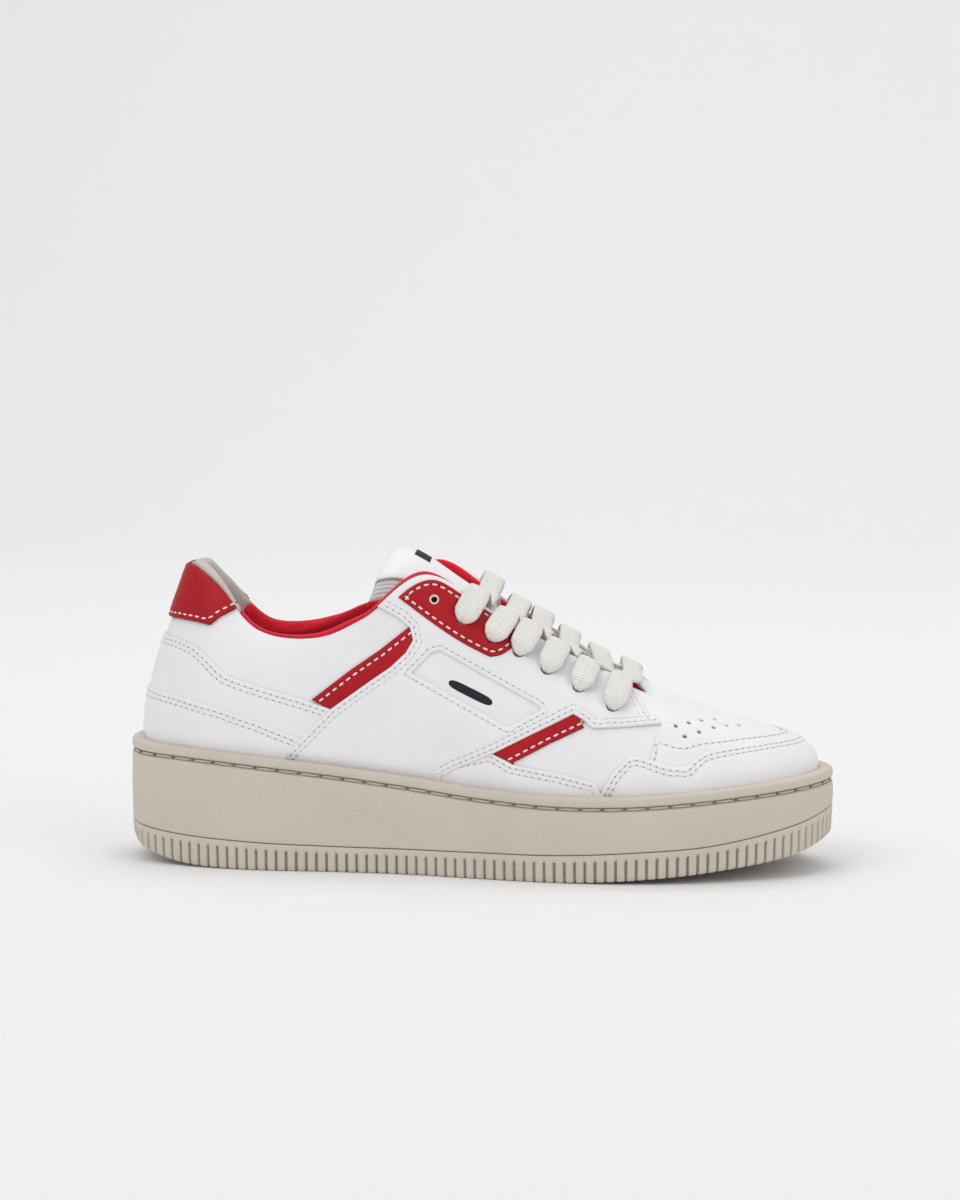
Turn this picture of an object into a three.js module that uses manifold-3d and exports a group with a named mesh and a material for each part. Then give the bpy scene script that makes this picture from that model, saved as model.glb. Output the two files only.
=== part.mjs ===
// A low-cut lace-up shoe for the right foot, on a thick cupped rubber sole. Millimetres, +Z up,
// the toe towards +X and the outer (lateral) side of the foot towards -Y.
import * as THREE from 'three';
import { mergeVertices } from 'three/addons/utils/BufferGeometryUtils.js';
import Module from 'manifold-3d';

const wasm = await Module();
wasm.setup();

// ---------------------------------------------------------------- driving dimensions
const CUP_WALL = 3.8;          // rubber wall of the cup sole
const CUP_FLOOR = 2.4;         // its floor, above the line where the tread begins
const GAP = 0.35;              // clearance between neighbouring solids
const GROOVE_TOP = 3.4;        // stitch groove under the rim: upper lip, height and depth
const GROOVE_HEIGHT = 2.0;
const GROOVE_DEPTH = 1.4;
const THREAD = 0.8;
const TREAD_INSET = 1.5;       // how far the tread's lower edge is rounded in
const UPPER_INSET = 6.5;       // foot of the upper, in from the outside of the sole
const UPPER_DEPTH = 8;         // and how far it reaches down below the rim
const BOARD = 2;               // insole board
const FOOTBED = 4.5;
const LEATHER = 1.2;           // body panels
const OVERLAY = [0.55, 1.5];   // heights of the overlay panels above the body panels
const TOP_OVERLAY = [2.0, 3.0];
const LINING = 1.0;
const LINING_DEPTH = 2.1;      // outer face of the lining below the leather's outer face
const STIFFENER_ROOM = 1.7;    // extra depth where the heel counter and toe puff lie between them
const STIFFENER = 0.9;
const STIFFENER_DEPTH = 1.26;  // from the leather's inner face to the stiffener
const COLLAR_PAD = 4.5;        // extra depth of the padding round the ankle
const EYELET_RADIUS = 2.6;
const LACE_WIDTH = 9;
const LACE_THICK = 1.6;

// Stations round the shoe, from the middle of the heel (0) to the tip of the toe (11). Sole: distance
// along the foot, half widths on the outer and inner side, then the heights of the rim, of the line
// where the tread begins, and of the tread's lower edge.
const SOLE = [
  [-140, 0, 0, 48.3, 16.3, 11], [-133.5, 21.5, 21.5, 48.2, 15, 6], [-114, 32, 32, 47.4, 12.8, 1.2],
  [-85, 37.2, 35.8, 45.2, 11.2, 0], [-55, 37.2, 33.7, 42, 10.3, 0], [-25, 39.2, 33.2, 38.6, 10.2, 0],
  [5, 45, 37.7, 35.3, 10.5, 0], [35, 49.8, 45.5, 33.5, 10.9, 0], [66, 50.3, 49.5, 34, 12.6, 1.6],
  [97, 43.3, 43.8, 36.2, 15, 4.5], [127, 27, 29, 38.9, 21, 9], [140, 0, 0, 39.8, 25.5, 14],
];
// The upper's cross-section at each station is a Bezier arch from inside the cup up to its free edge.
// Its two middle control points and its end, as distance along the foot, half width and height.
const SWELL = [
  [-136, 0, 72], [-131, 18, 72], [-112, 33, 68], [-85, 36.5, 66], [-56, 36, 62], [-28, 36.5, 58],
  [2, 41, 54], [34, 46.5, 50], [66, 47.5, 46], [97, 41.5, 47], [127.5, 26.5, 50.5], [139, 0, 56],
];
const SHOULDER = [
  [-122.5, 0, 96], [-119, 14, 97], [-106, 26, 92], [-85, 31, 84], [-60, 32, 82], [-36, 33, 84],
  [-9, 34, 86], [22, 32, 80], [52, 28, 73], [80, 24, 66], [97, 12, 61], [105, 0, 58],
];
const TOPLINE = [
  [-116.5, 0, 117], [-112.5, 8.5, 117], [-102, 17, 110.5], [-85, 24.5, 94], [-62, 28, 91.5],
  [-43, 28, 99.5], [-19, 24, 117], [8, 20.5, 101], [36, 17, 84.5], [58, 12, 73.5], [64, 6.5, 69.5],
  [66, 0, 68],
];
// The inner side's topline dips a little sooner behind the ankle.
const INNER_TOPLINE = { 2: [-103.5, 16, 108], 3: [-87, 22.5, 92] };

const TOE = SOLE.length - 1;
const ROUND = 2 * TOE;         // stations all the way round

// ---------------------------------------------------------------- colours
const paint = (color, roughness = 0.6) => new THREE.MeshStandardMaterial({ color, roughness, metalness: 0 });
const WHITE = () => paint(0xf0f0f2, 0.45);
const RED = () => paint(0xc22434, 0.45);
const CRIMSON = () => paint(0xe00a30, 0.85);
const RUBBER = () => paint(0xcbc1b5, 0.8);
const GREY = () => paint(0xc8c5c0, 0.9);
const FOAM = () => paint(0xe8e2c8, 0.95);
const CREAM = () => paint(0xebe8e1, 0.85);

// ---------------------------------------------------------------- curves round the shoe
function roundTheShoe(outer, inner) {
  const points = outer.map(([x, w, z]) => new THREE.Vector3(x, -w, z));
  for (let i = TOE - 1; i > 0; i -= 1) points.push(new THREE.Vector3(inner[i][0], inner[i][1], inner[i][2]));
  return points;
}

function along(points, u) {
  const n = points.length;
  const i = Math.floor(u);
  const f = u - i;
  const [a, b, c, d] = [-1, 0, 1, 2].map((k) => points[(((i + k) % n) + n) % n]);
  const mix = (p, q, r, s) => 0.5 * (2 * q + (r - p) * f + (2 * p - 5 * q + 4 * r - s) * f * f
    + (3 * q - p - 3 * r + s) * f ** 3);
  return new THREE.Vector3(mix(a.x, b.x, c.x, d.x), mix(a.y, b.y, c.y, d.y), mix(a.z, b.z, c.z, d.z));
}

const soleAt = (height) => roundTheShoe(
  SOLE.map((s) => [s[0], s[1], s[height]]), SOLE.map((s) => [s[0], s[2], s[height]]));
const RIM = soleAt(3);
const TREAD_LINE = soleAt(4);
const TREAD_EDGE = soleAt(5);

// A point of a sole curve moved in from the outside by `inset` and up by `rise`.
function soleSpot(points, u, inset, rise = 0) {
  const spot = along(points, u);
  spot.z = Math.max(spot.z, 0);
  const way = along(points, u + 0.01).sub(along(points, u - 0.01));
  const outward = new THREE.Vector3(way.y, -way.x, 0).normalize();
  return spot.addScaledVector(outward, -inset).add(new THREE.Vector3(0, 0, rise));
}

// The inner side is as much narrower than the outer as the sole is, in part higher up.
function innerSide(rows, share, special = {}) {
  return rows.map(([x, w, z], i) => special[i] ?? [x, w + share * (SOLE[i][2] - SOLE[i][1]), z]);
}
const SWELL_RING = roundTheShoe(SWELL, innerSide(SWELL, 1));
const SHOULDER_RING = roundTheShoe(SHOULDER, innerSide(SHOULDER, 0.4));
const TOPLINE_RING = roundTheShoe(TOPLINE, innerSide(TOPLINE, 0, INNER_TOPLINE));

// The leather's outer face: u runs round the shoe, t from the foot of the upper to its free edge.
function leather(u, t) {
  const s = 1 - t;
  return soleSpot(RIM, u, UPPER_INSET, -UPPER_DEPTH).multiplyScalar(s ** 3)
    .addScaledVector(along(SWELL_RING, u), 3 * s * s * t)
    .addScaledVector(along(SHOULDER_RING, u), 3 * s * t * t)
    .addScaledVector(along(TOPLINE_RING, u), t ** 3);
}

// The same face raised by `height` along its normal.
function raised(u, t, height) {
  const step = 0.01;
  const round = leather(u + step, t).sub(leather(u - step, t));
  const up = leather(u, t + step).sub(leather(u, t - step));
  return leather(u, t).addScaledVector(round.cross(up).normalize(), height);
}

// ---------------------------------------------------------------- closed solids from grids
function solidFrom(positions, faces) {
  let geometry = new THREE.BufferGeometry();
  const numbers = positions.flatMap((p) => [p.x, p.y, p.z]);
  geometry.setAttribute('position', new THREE.Float32BufferAttribute(numbers, 3));
  geometry.setIndex(faces.flat());
  geometry = mergeVertices(geometry, 1e-4);
  const index = Array.from(geometry.index.array);
  const kept = [];
  for (let i = 0; i < index.length; i += 3) {
    const [a, b, c] = index.slice(i, i + 3);
    if (a !== b && b !== c && c !== a) kept.push(a, b, c);
  }
  geometry.setIndex(kept);
  return geometry;
}

// Rings of points with the same count, joined one to the next; the ends are closed straight across,
// and a stack with no ends joins its last ring to its first.
function ringStack(rings, ends = true) {
  const n = rings[0].length;
  const faces = [];
  const spans = ends ? rings.length - 1 : rings.length;
  for (let r = 0; r < spans; r += 1) {
    const a = r * n;
    const b = ((r + 1) % rings.length) * n;
    for (let i = 0; i < n; i += 1) {
      const j = (i + 1) % n;
      faces.push([a + i, a + j, b + j], [a + i, b + j, b + i]);
    }
  }
  if (ends) {
    const last = (rings.length - 1) * n;
    for (let i = 0; i < n / 2; i += 1) {
      const [p, q, r, s] = [i, i + 1, n - 1 - i, (n - i) % n];
      faces.push([p, r, q], [p, s, r]);
      faces.push([last + p, last + q, last + r], [last + p, last + r, last + s]);
    }
  }
  return solidFrom(rings.flat(), faces);
}

// A thin plate: point(i, j, k) gives its under face (k 0) and its upper face (k 1).
function plate(columns, rows, point) {
  const positions = [];
  for (let k = 0; k < 2; k += 1) {
    for (let i = 0; i <= columns; i += 1) {
      for (let j = 0; j <= rows; j += 1) positions.push(point(i / columns, j / rows, k));
    }
  }
  const id = (i, j, k) => (k * (columns + 1) + i) * (rows + 1) + j;
  const faces = [];
  const quad = (a, b, c, d) => faces.push([a, b, c], [a, c, d]);
  for (let i = 0; i < columns; i += 1) {
    for (let j = 0; j < rows; j += 1) {
      quad(id(i, j, 1), id(i + 1, j, 1), id(i + 1, j + 1, 1), id(i, j + 1, 1));
      quad(id(i, j, 0), id(i, j + 1, 0), id(i + 1, j + 1, 0), id(i + 1, j, 0));
    }
    quad(id(i, 0, 0), id(i + 1, 0, 0), id(i + 1, 0, 1), id(i, 0, 1));
    quad(id(i, rows, 1), id(i + 1, rows, 1), id(i + 1, rows, 0), id(i, rows, 0));
  }
  for (let j = 0; j < rows; j += 1) {
    quad(id(0, j + 1, 0), id(0, j, 0), id(0, j, 1), id(0, j + 1, 1));
    quad(id(columns, j, 0), id(columns, j + 1, 0), id(columns, j + 1, 1), id(columns, j, 1));
  }
  return solidFrom(positions, faces);
}

// A plate that follows the upper between two stations; heights may vary over it.
function skin([u0, u1], [t0, t1], low, high, columns, rows) {
  const at = (h, u, t) => (typeof h === 'function' ? h(u, t) : h);
  return plate(columns, rows, (a, b, k) => {
    const u = u0 + (u1 - u0) * a;
    const t = t0 + (t1 - t0) * b;
    return raised(u, t, at(k ? high : low, u, t));
  });
}

// ---------------------------------------------------------------- booleans
function toManifold(geometry) {
  const bare = geometry.clone();
  bare.deleteAttribute('normal');
  bare.deleteAttribute('uv');
  const merged = mergeVertices(bare, 1e-5);
  return new wasm.Manifold(new wasm.Mesh({
    numProp: 3,
    vertProperties: new Float32Array(merged.attributes.position.array),
    triVerts: new Uint32Array(merged.index.array),
  }));
}

function fromManifold(solid) {
  const mesh = solid.getMesh();
  const geometry = new THREE.BufferGeometry();
  geometry.setAttribute('position', new THREE.BufferAttribute(new Float32Array(mesh.vertProperties), 3));
  geometry.setIndex(Array.from(mesh.triVerts));
  return geometry;
}

const REACH = 80;              // further than the shoe is wide
const LATERAL = -1;
const MEDIAL = 1;

// The outline (distance along, height) carried sideways through one side of the shoe, or both.
function sideways(outline, side = 0) {
  const shape = new THREE.Shape(outline.map(([x, z]) => new THREE.Vector2(x, z)));
  const geometry = new THREE.ExtrudeGeometry(shape, { depth: side ? REACH : 2 * REACH, bevelEnabled: false });
  geometry.rotateX(Math.PI / 2);
  if (side !== LATERAL) geometry.translate(0, REACH, 0);
  return toManifold(geometry);
}

// A smooth outline: points along a centripetal curve through the given ones.
function smooth(points, steps) {
  const places = points.map(([x, z]) => new THREE.Vector3(x, z, 0));
  const curve = new THREE.CatmullRomCurve3(places, false, 'centripetal');
  return curve.getPoints(steps).map((p) => [p.x, p.y]);
}

// Round holes through the upper at the given eyelets, square to the leather.
function drill(solid, eyelets, radius = EYELET_RADIUS) {
  let result = solid;
  for (const { centre, normal } of eyelets) {
    const bore = new THREE.CylinderGeometry(radius, radius, 16, 6);
    const turn = new THREE.Quaternion().setFromUnitVectors(new THREE.Vector3(0, 1, 0), normal);
    bore.applyQuaternion(turn);
    bore.translate(centre.x, centre.y, centre.z);
    result = result.subtract(toManifold(bore));
  }
  return result;
}

// ---------------------------------------------------------------- the object
const shoe = new THREE.Group();
const body = new THREE.Group();
shoe.add(body);

function add(name, geometry, material) {
  const mesh = new THREE.Mesh(geometry, material);
  mesh.name = name;
  body.add(mesh);
  return mesh;
}

const SIDES = [['lateral', LATERAL], ['medial', MEDIAL]];
const mirrorSpan = ([u0, u1], side) => (side === LATERAL ? [u0, u1] : [ROUND - u1, ROUND - u0]);

// ---- sole
const RING_STEPS = 48;
const soleRing = (points, inset, rise) => Array.from({ length: RING_STEPS },
  (_, i) => soleSpot(points, (i * ROUND) / RING_STEPS, inset, rise));

function makeSole() {
  add('outsole_tread', ringStack([
    soleRing(TREAD_EDGE, TREAD_INSET + 2, 0),
    soleRing(TREAD_EDGE, TREAD_INSET * 0.4, 2.4),
    soleRing(TREAD_LINE, 0, 0),
  ]), RUBBER());

  const floor = GAP + CUP_FLOOR;
  add('cup_sole', ringStack([
    soleRing(TREAD_LINE, 0, GAP),
    soleRing(RIM, 0, -GROOVE_TOP - GROOVE_HEIGHT),
    soleRing(RIM, GROOVE_DEPTH, -GROOVE_TOP - GROOVE_HEIGHT + 0.3),
    soleRing(RIM, GROOVE_DEPTH, -GROOVE_TOP - 0.3),
    soleRing(RIM, 0, -GROOVE_TOP),
    soleRing(RIM, 0, -0.8),
    soleRing(RIM, 0.8, 0),
    soleRing(RIM, CUP_WALL, 0),
    soleRing(TREAD_LINE, CUP_WALL, floor),
  ]), RUBBER());

  const middle = -GROOVE_TOP - GROOVE_HEIGHT / 2;
  const half = THREAD / 2;
  add('sole_stitching', ringStack([
    soleRing(RIM, GROOVE_DEPTH - 0.3, middle - half),
    soleRing(RIM, GROOVE_DEPTH - 0.3 - THREAD, middle - half),
    soleRing(RIM, GROOVE_DEPTH - 0.3 - THREAD, middle + half),
    soleRing(RIM, GROOVE_DEPTH - 0.3, middle + half),
  ], false), paint(0x8a8074, 0.9));

  const boardTop = -UPPER_DEPTH - GAP;
  add('cushion_wedge', ringStack([
    soleRing(TREAD_LINE, CUP_WALL + GAP, floor + GAP),
    soleRing(RIM, CUP_WALL + GAP, boardTop - BOARD - GAP),
  ]), paint(0xf4f2ec, 0.9));
  add('insole_board', ringStack([
    soleRing(RIM, CUP_WALL + GAP, boardTop - BOARD),
    soleRing(RIM, CUP_WALL + GAP, boardTop),
  ]), paint(0xb9a88a, 0.9));
  const inside = UPPER_INSET + LINING_DEPTH + STIFFENER_ROOM + LINING + 0.6;
  add('footbed', ringStack([
    soleRing(RIM, inside, boardTop + GAP),
    soleRing(RIM, inside - 0.4, boardTop + GAP + FOOTBED),
  ]), CRIMSON());
}

// ---- body of the upper
const SEAM = 6.5;              // station where the quarters meet the vamp
const HEEL_SEAM = 0.025;
const HEEL_LINING_END = 2.6;

// Eyelets along the outer and inner lacing edge, from the toe (0) to the top (6).
const EYELET_SPOTS = [[55.3, 66], [42, 73.1], [29.5, 79.9], [18.4, 86.6], [7.8, 91.8], [-3.5, 99],
  [-14.6, 106.5]];

// Where the upper passes a given distance along and height, on one side.
function spotOn(side, x, z, u = 6.5, t = 0.7) {
  for (let round = 0; round < 40; round += 1) {
    const at = (uu, tt) => leather(side === LATERAL ? uu : ROUND - uu, tt);
    const here = at(u, t);
    const du = at(u + 1e-3, t).sub(here).divideScalar(1e-3);
    const dt = at(u, t + 1e-3).sub(here).divideScalar(1e-3);
    const det = du.x * dt.z - du.z * dt.x;
    const [ex, ez] = [x - here.x, z - here.z];
    u += THREE.MathUtils.clamp((ex * dt.z - ez * dt.x) / det, -0.4, 0.4);
    t += THREE.MathUtils.clamp((du.x * ez - du.z * ex) / det, -0.08, 0.08);
  }
  return side === LATERAL ? [u, t] : [ROUND - u, t];
}

function eyeletsOn(side) {
  return EYELET_SPOTS.map(([x, z]) => {
    const [u, t] = spotOn(side, x, z);
    const centre = leather(u, t);
    return { u, t, centre, normal: raised(u, t, 1).sub(centre).normalize() };
  });
}
const EYELETS = { [LATERAL]: eyeletsOn(LATERAL), [MEDIAL]: eyeletsOn(MEDIAL) };
const ALL_EYELETS = [...EYELETS[LATERAL], ...EYELETS[MEDIAL]];

// Depth of the padding behind the leather: thick round the ankle, none at the throat.
function padding(u, t) {
  const fromHeel = Math.abs(((u + TOE) % ROUND + ROUND) % ROUND - TOE);
  const round = THREE.MathUtils.smoothstep(4.7 - fromHeel, 0, 1.3);
  const up = THREE.MathUtils.smoothstep(t, 0.5, 0.8) * (1 - 0.6 * THREE.MathUtils.smoothstep(t, 0.86, 1));
  return COLLAR_PAD * round * up;
}
function stiffener(u) {
  const fromHeel = Math.abs(((u + TOE) % ROUND + ROUND) % ROUND - TOE);
  const { smoothstep } = THREE.MathUtils;
  return smoothstep(4.6 - fromHeel, 0, 1.2) + smoothstep(fromHeel - 8.6, 0, 1);
}
const liningOuter = (u, t) => -LINING_DEPTH - STIFFENER_ROOM * stiffener(u) - padding(u, t);
const liningInner = (u, t) => liningOuter(u, t) - LINING;

function makeBody() {
  const drilled = (geometry, radius) => fromManifold(drill(toManifold(geometry), ALL_EYELETS, radius));
  const clear = SEAM + 0.03;
  add('vamp', drilled(skin([clear, ROUND - clear], [0.02, 1], -LEATHER, 0, 28, 5)), WHITE());
  for (const [name, side] of SIDES) {
    add(`quarter_${name}`, drilled(skin(mirrorSpan([HEEL_SEAM, SEAM], side), [0.02, 1], -LEATHER, 0, 16, 5)),
      WHITE());
    add(`quarter_lining_${name}`, drilled(
      skin(mirrorSpan([HEEL_LINING_END + 0.02, SEAM], side), [0.05, 1], liningInner, liningOuter, 10, 6),
      EYELET_RADIUS + 0.7), CRIMSON());
  }
  const heelSpan = [-HEEL_LINING_END, HEEL_LINING_END];
  add('heel_lining', skin(heelSpan, [0.05, 1], liningInner, liningOuter, 12, 6), GREY());
  add('vamp_lining', drilled(skin([clear, ROUND - clear], [0.05, 1], liningInner, liningOuter, 20, 4),
    EYELET_RADIUS + 0.7), CRIMSON());
  const [under, over] = [-LEATHER - STIFFENER_DEPTH - STIFFENER, -LEATHER - STIFFENER_DEPTH];
  add('toe_puff', skin([9.7, ROUND - 9.7], [0.1, 0.6], under, over, 14, 3), FOAM());
  add('heel_counter', skin([-3, 3], [0.06, 0.47], under, over, 14, 3), FOAM());
  const foamInner = (u, t) => liningOuter(u, t) + 3 * GAP;
  add('collar_foam', skin([-4.3, 4.3], [0.55, 0.96], foamInner, -LEATHER - 2 * GAP, 16, 5), FOAM());
}

// ---- overlays, as outlines in side elevation (distance along, height)
const REAR_STRIPE_LOW = [[-54.8, 64.7], [-39.2, 75.9], [-31.4, 81.5], [-25.6, 87.1], [-22.9, 91.5],
  [-24.4, 96.3]];
const SADDLE_REAR = [[-74.2, 44.6], [-67, 51.8], [-54.6, 64.2], [-39, 75.4], [-31, 80.9], [-25, 86.6],
  [-22.3, 91.4], [-23.6, 96], [-28, 99.6], [-33.5, 102.4], [-42, 106]];
const WINDOW = [[-22.6, 78.9], [-15, 86.6], [-11.5, 87.6], [27.5, 66.8], [28.3, 65.4], [15.7, 58.9]];
const FRONT_STRIPE = [[10, 47.8], [24.4, 55.4], [40.7, 63], [45.1, 59.1], [32.3, 53.2], [17.9, 45.4]];
const SADDLE_FRONT = [[-12.2, 37.9], [-5.2, 42], [9.6, 48.5], [24.2, 55.9], [40.7, 63.8], [44.8, 61.6],
  [48.2, 58.7], [58.9, 58.9], [74.4, 59.7], [69.6, 62.3], [67, 65.7], [65, 69.5], [64.5, 76]];

// Overlays end just above the rim of the cup.
const RIM_LINE = [[-150, 49.3], [-135, 48.9], [-112, 48.1], [-85, 45.8], [-55, 42.6], [-25, 39.2], [5, 35.9],
  [35, 34.1], [51, 34], [66, 34.6], [97, 36.8], [123, 39.2], [160, 41.5]];
const rimBetween = (x0, x1) => RIM_LINE.filter(([x]) => x > x0 && x < x1);

function makeOverlays() {
  const outer = (span, range, columns, rows, heights = OVERLAY) => toManifold(
    skin(span, range, heights[0], heights[1], columns, rows));
  for (const [name, side] of SIDES) {
    const blank = outer(mirrorSpan([2.8, 10.2], side), [0.02, 0.995], 18, 6);
    const eyelets = EYELETS[side];
    const saddle = [...SADDLE_REAR, [-60, 140], [64, 140], ...[...SADDLE_FRONT].reverse(),
      ...rimBetween(-73, -19).reverse()];
    add(`saddle_${name}`, fromManifold(drill(
      blank.intersect(sideways(saddle, side)).subtract(sideways(WINDOW, side)), eyelets)), WHITE());
    const pane = WINDOW.map(([x, z]) => [x + (3 - x) * 0.03, z + (73 - z) * 0.03]);
    const paneBlank = outer(mirrorSpan([5, 7.6], side), [0.3, 0.75], 7, 4, [0.3, 0.9]);
    add(`side_window_${name}`, fromManifold(paneBlank.intersect(sideways(pane, side))), WHITE());
    const rear = [...REAR_STRIPE_LOW, [-35.5, 87.4], [-47.2, 79.3], [-62.3, 67.6]];
    add(`rear_stripe_${name}`, fromManifold(
      outer(mirrorSpan([3.4, 6.2], side), [0.35, 0.9], 8, 5).intersect(sideways(rear, side))), RED());
    add(`front_stripe_${name}`, fromManifold(
      outer(mirrorSpan([5.8, 8.2], side), [0.1, 0.65], 8, 5).intersect(sideways(FRONT_STRIPE, side))), RED());
    const lower = [[-11, 37.7], [-5.2, 41.4], [9.4, 47.4], [17.7, 44.9], [36.4, 41.9], [50.6, 38.6],
      ...rimBetween(-11, 52).reverse()];
    add(`side_panel_${name}`, fromManifold(
      outer(mirrorSpan([4.9, 8], side), [0.02, 0.4], 10, 3).intersect(sideways(lower, side))), WHITE());
    const patchTop = [[-28.5, 107.4], [-24.3, 110.9], [-20, 113.3], [-16, 114], [-12.8, 113.2],
      [-8.9, 110.9], [0, 104.5], [18.5, 92.2]];
    const patchLow = [[18.5, 92.2], [16.9, 89.5], [14.5, 87], [11.6, 85.4], [8.9, 85], [5.8, 85.7],
      [-8, 93.3], [-28.5, 107.4]];
    const patch = [...smooth(patchTop, 16), ...smooth(patchLow, 16).slice(1, -1)];
    add(`eyelet_patch_${name}`, fromManifold(drill(
      outer(mirrorSpan([5.3, 7.5], side), [0.6, 0.99], 6, 3, TOP_OVERLAY).intersect(sideways(patch, side)),
      eyelets, EYELET_RADIUS + 1)), RED());
    const { centre, normal } = eyelets[6];
    const ringSection = [[1.7, 1.7], [2.4, 1.7], [2.4, 3.2], [2, 3.5], [1.7, 3.2], [1.7, 1.7]];
    const ring = new THREE.LatheGeometry(ringSection.map(([r, h]) => new THREE.Vector2(r, h)), 8);
    ring.applyQuaternion(new THREE.Quaternion().setFromUnitVectors(new THREE.Vector3(0, 1, 0), normal));
    ring.translate(centre.x, centre.y, centre.z);
    add(`top_eyelet_${name}`, fromManifold(toManifold(ring)), CREAM());
  }
  const heelBlank = outer([-4.4, 4.4], [0.02, 0.7], 20, 4);
  const heelTop = [[-150, 90.5], [-124.8, 89.8], [-117.3, 89.2], [-109.3, 86.7], [-104.4, 83.1],
    [-99.2, 78.3], [-95.1, 75.8], [-82.9, 72.2], [-66.9, 68], [-55.5, 64.4]];
  add('heel_overlay', fromManifold(heelBlank.intersect(sideways(
    [...heelTop, [-67.7, 51.8], [-74.8, 44.8], ...rimBetween(-200, -76).reverse()]))), WHITE());
  const foxingTop = [[-150, 69.5], [-130.7, 68.9], [-116.1, 67.2], [-99, 63.5], [-82.8, 58.5], [-68, 52.6]];
  add('heel_foxing', fromManifold(outer([-3.9, 3.9], [0.1, 0.42], 18, 2, TOP_OVERLAY).intersect(sideways(
    [...foxingTop, [-75, 45.6], ...rimBetween(-200, -78).reverse()]))), WHITE());
  const tab = [[-150, 96.3], [-124.1, 96.3], [-118, 96.6], [-110.8, 96.2], [-104.2, 95.2], [-100.4, 98.3],
    [-94.5, 101.4], [-98, 108], [-104, 125], [-150, 125]];
  add('heel_tab', fromManifold(outer([-2.7, 2.7], [0.55, 1], 14, 3).intersect(sideways(tab))), RED());

  const toeBlank = outer([7.3, ROUND - 7.3], [0.02, 0.62], 22, 5);
  const guardTop = [[52.3, 34.6], [56.6, 42.2], [60.3, 45.9], [63, 48.1], [67.1, 48.1], [70.9, 47],
    [74.8, 45.5], [79.4, 44.4], [84.8, 44.3], [87.7, 47.1], [91, 49.1], [95.5, 50], [104.8, 50.8],
    [116, 51.1], [160, 51.4]];
  const guard = [...guardTop, ...rimBetween(52, 200).reverse()];
  add('toe_guard', fromManifold(toeBlank.intersect(sideways(guard))), WHITE());
  const bandTop = [[72.8, 55.6], [76.3, 53.8], [80.2, 52.6], [84, 52.2], [89.6, 53.4], [104.6, 53.9],
    [117.6, 53.7], [160, 53.4]];
  const bandLow = [[70.6, 47.7], [74.8, 46.1], [79.4, 45], [84.6, 44.9], [87.5, 47.7], [91, 49.7],
    [95.5, 50.6], [104.8, 51.4], [116, 51.7], [160, 52]];
  const band = [...bandTop, ...bandLow.reverse()];
  add('toe_band', fromManifold(toeBlank.intersect(sideways(band))), WHITE());
}

// ---- red binding along the topline and the lacing edge
function makeBinding() {
  for (const [name, side] of SIDES) {
    add(`collar_binding_${name}`, skin(mirrorSpan([HEEL_LINING_END + 0.05, 9.6], side), [1.015, 1.03],
      -LINING_DEPTH - LINING, 0.8, 20, 1), CRIMSON());
  }
  const heelSpan = [-HEEL_LINING_END, HEEL_LINING_END];
  add('heel_binding', skin(heelSpan, [1.012, 1.024], -LINING_DEPTH - LINING - 1.5, 0.8, 12, 1), GREY());
}

// ---- tongue: an arched pad from under the vamp up to the ankle
const TONGUE_LINE = [[76, 58.5], [67, 61], [58, 66.5], [47, 76], [28, 88], [8, 100.5], [-10, 112], [-21, 119],
  [-28, 121.5], [-35, 120]];
const TONGUE_HALF = [11, 12, 13, 15, 18, 20, 21, 21.5, 22, 22];
const TONGUE_FOAM = [1, 1.4, 2, 3, 4, 4.5, 4.8, 4.8, 4.5, 3.5];

function tongueSpot(s, across, depth) {
  const places = TONGUE_LINE.map(([x, z]) => new THREE.Vector3(x, 0, z));
  const line = new THREE.CatmullRomCurve3(places, false, 'centripetal');
  const k = s * (TONGUE_LINE.length - 1);
  const i = Math.min(Math.floor(k), TONGUE_LINE.length - 2);
  const half = THREE.MathUtils.lerp(TONGUE_HALF[i], TONGUE_HALF[i + 1], k - i);
  const middle = line.getPoint(s);
  const way = line.getTangent(s);
  const normal = new THREE.Vector3(-way.z, 0, way.x).multiplyScalar(way.x < 0 ? -1 : 1);
  const y = across * half;
  const drop = 0.145 * Math.abs(y) ** 1.5;
  const lean = Math.abs(across) ** 1.5 * 0.5;
  const out = new THREE.Vector3(0, Math.sign(across) * Math.min(1, lean), 0);
  out.addScaledVector(normal, 1).normalize();
  return middle.add(new THREE.Vector3(0, y, 0)).addScaledVector(new THREE.Vector3(-0.12, 0, -1), drop)
    .addScaledVector(out, -depth);
}
const foamAt = (s) => {
  const k = s * (TONGUE_FOAM.length - 1);
  const i = Math.min(Math.floor(k), TONGUE_FOAM.length - 2);
  return THREE.MathUtils.lerp(TONGUE_FOAM[i], TONGUE_FOAM[i + 1], k - i);
};

function tonguePlate(s0, s1, half, top, bottom, columns, rows) {
  return plate(columns, rows, (a, b, k) => {
    const s = s0 + (s1 - s0) * a;
    const depth = k ? top(s) : bottom(s);
    return tongueSpot(s, half * (1 - 2 * b), depth);
  });
}

function makeTongue() {
  const cover = 1;
  const slack = 2 * GAP;
  add('tongue_cover', tonguePlate(0, 1, 1, () => 0, () => cover, 11, 6), GREY());
  const foamBottom = (s) => cover + slack + foamAt(s);
  add('tongue_foam', tonguePlate(0.02, 0.985, 0.96, () => cover + slack, foamBottom, 11, 6), FOAM());
  const back = (s) => cover + 2 * slack + foamAt(s);
  add('tongue_lining', tonguePlate(0, 1, 1, back, (s) => back(s) + 0.8, 11, 6), CRIMSON());
  add('tongue_label', tonguePlate(0.62, 0.99, 0.72, () => -GAP - 0.8, () => -GAP, 7, 4), WHITE());
}

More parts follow.
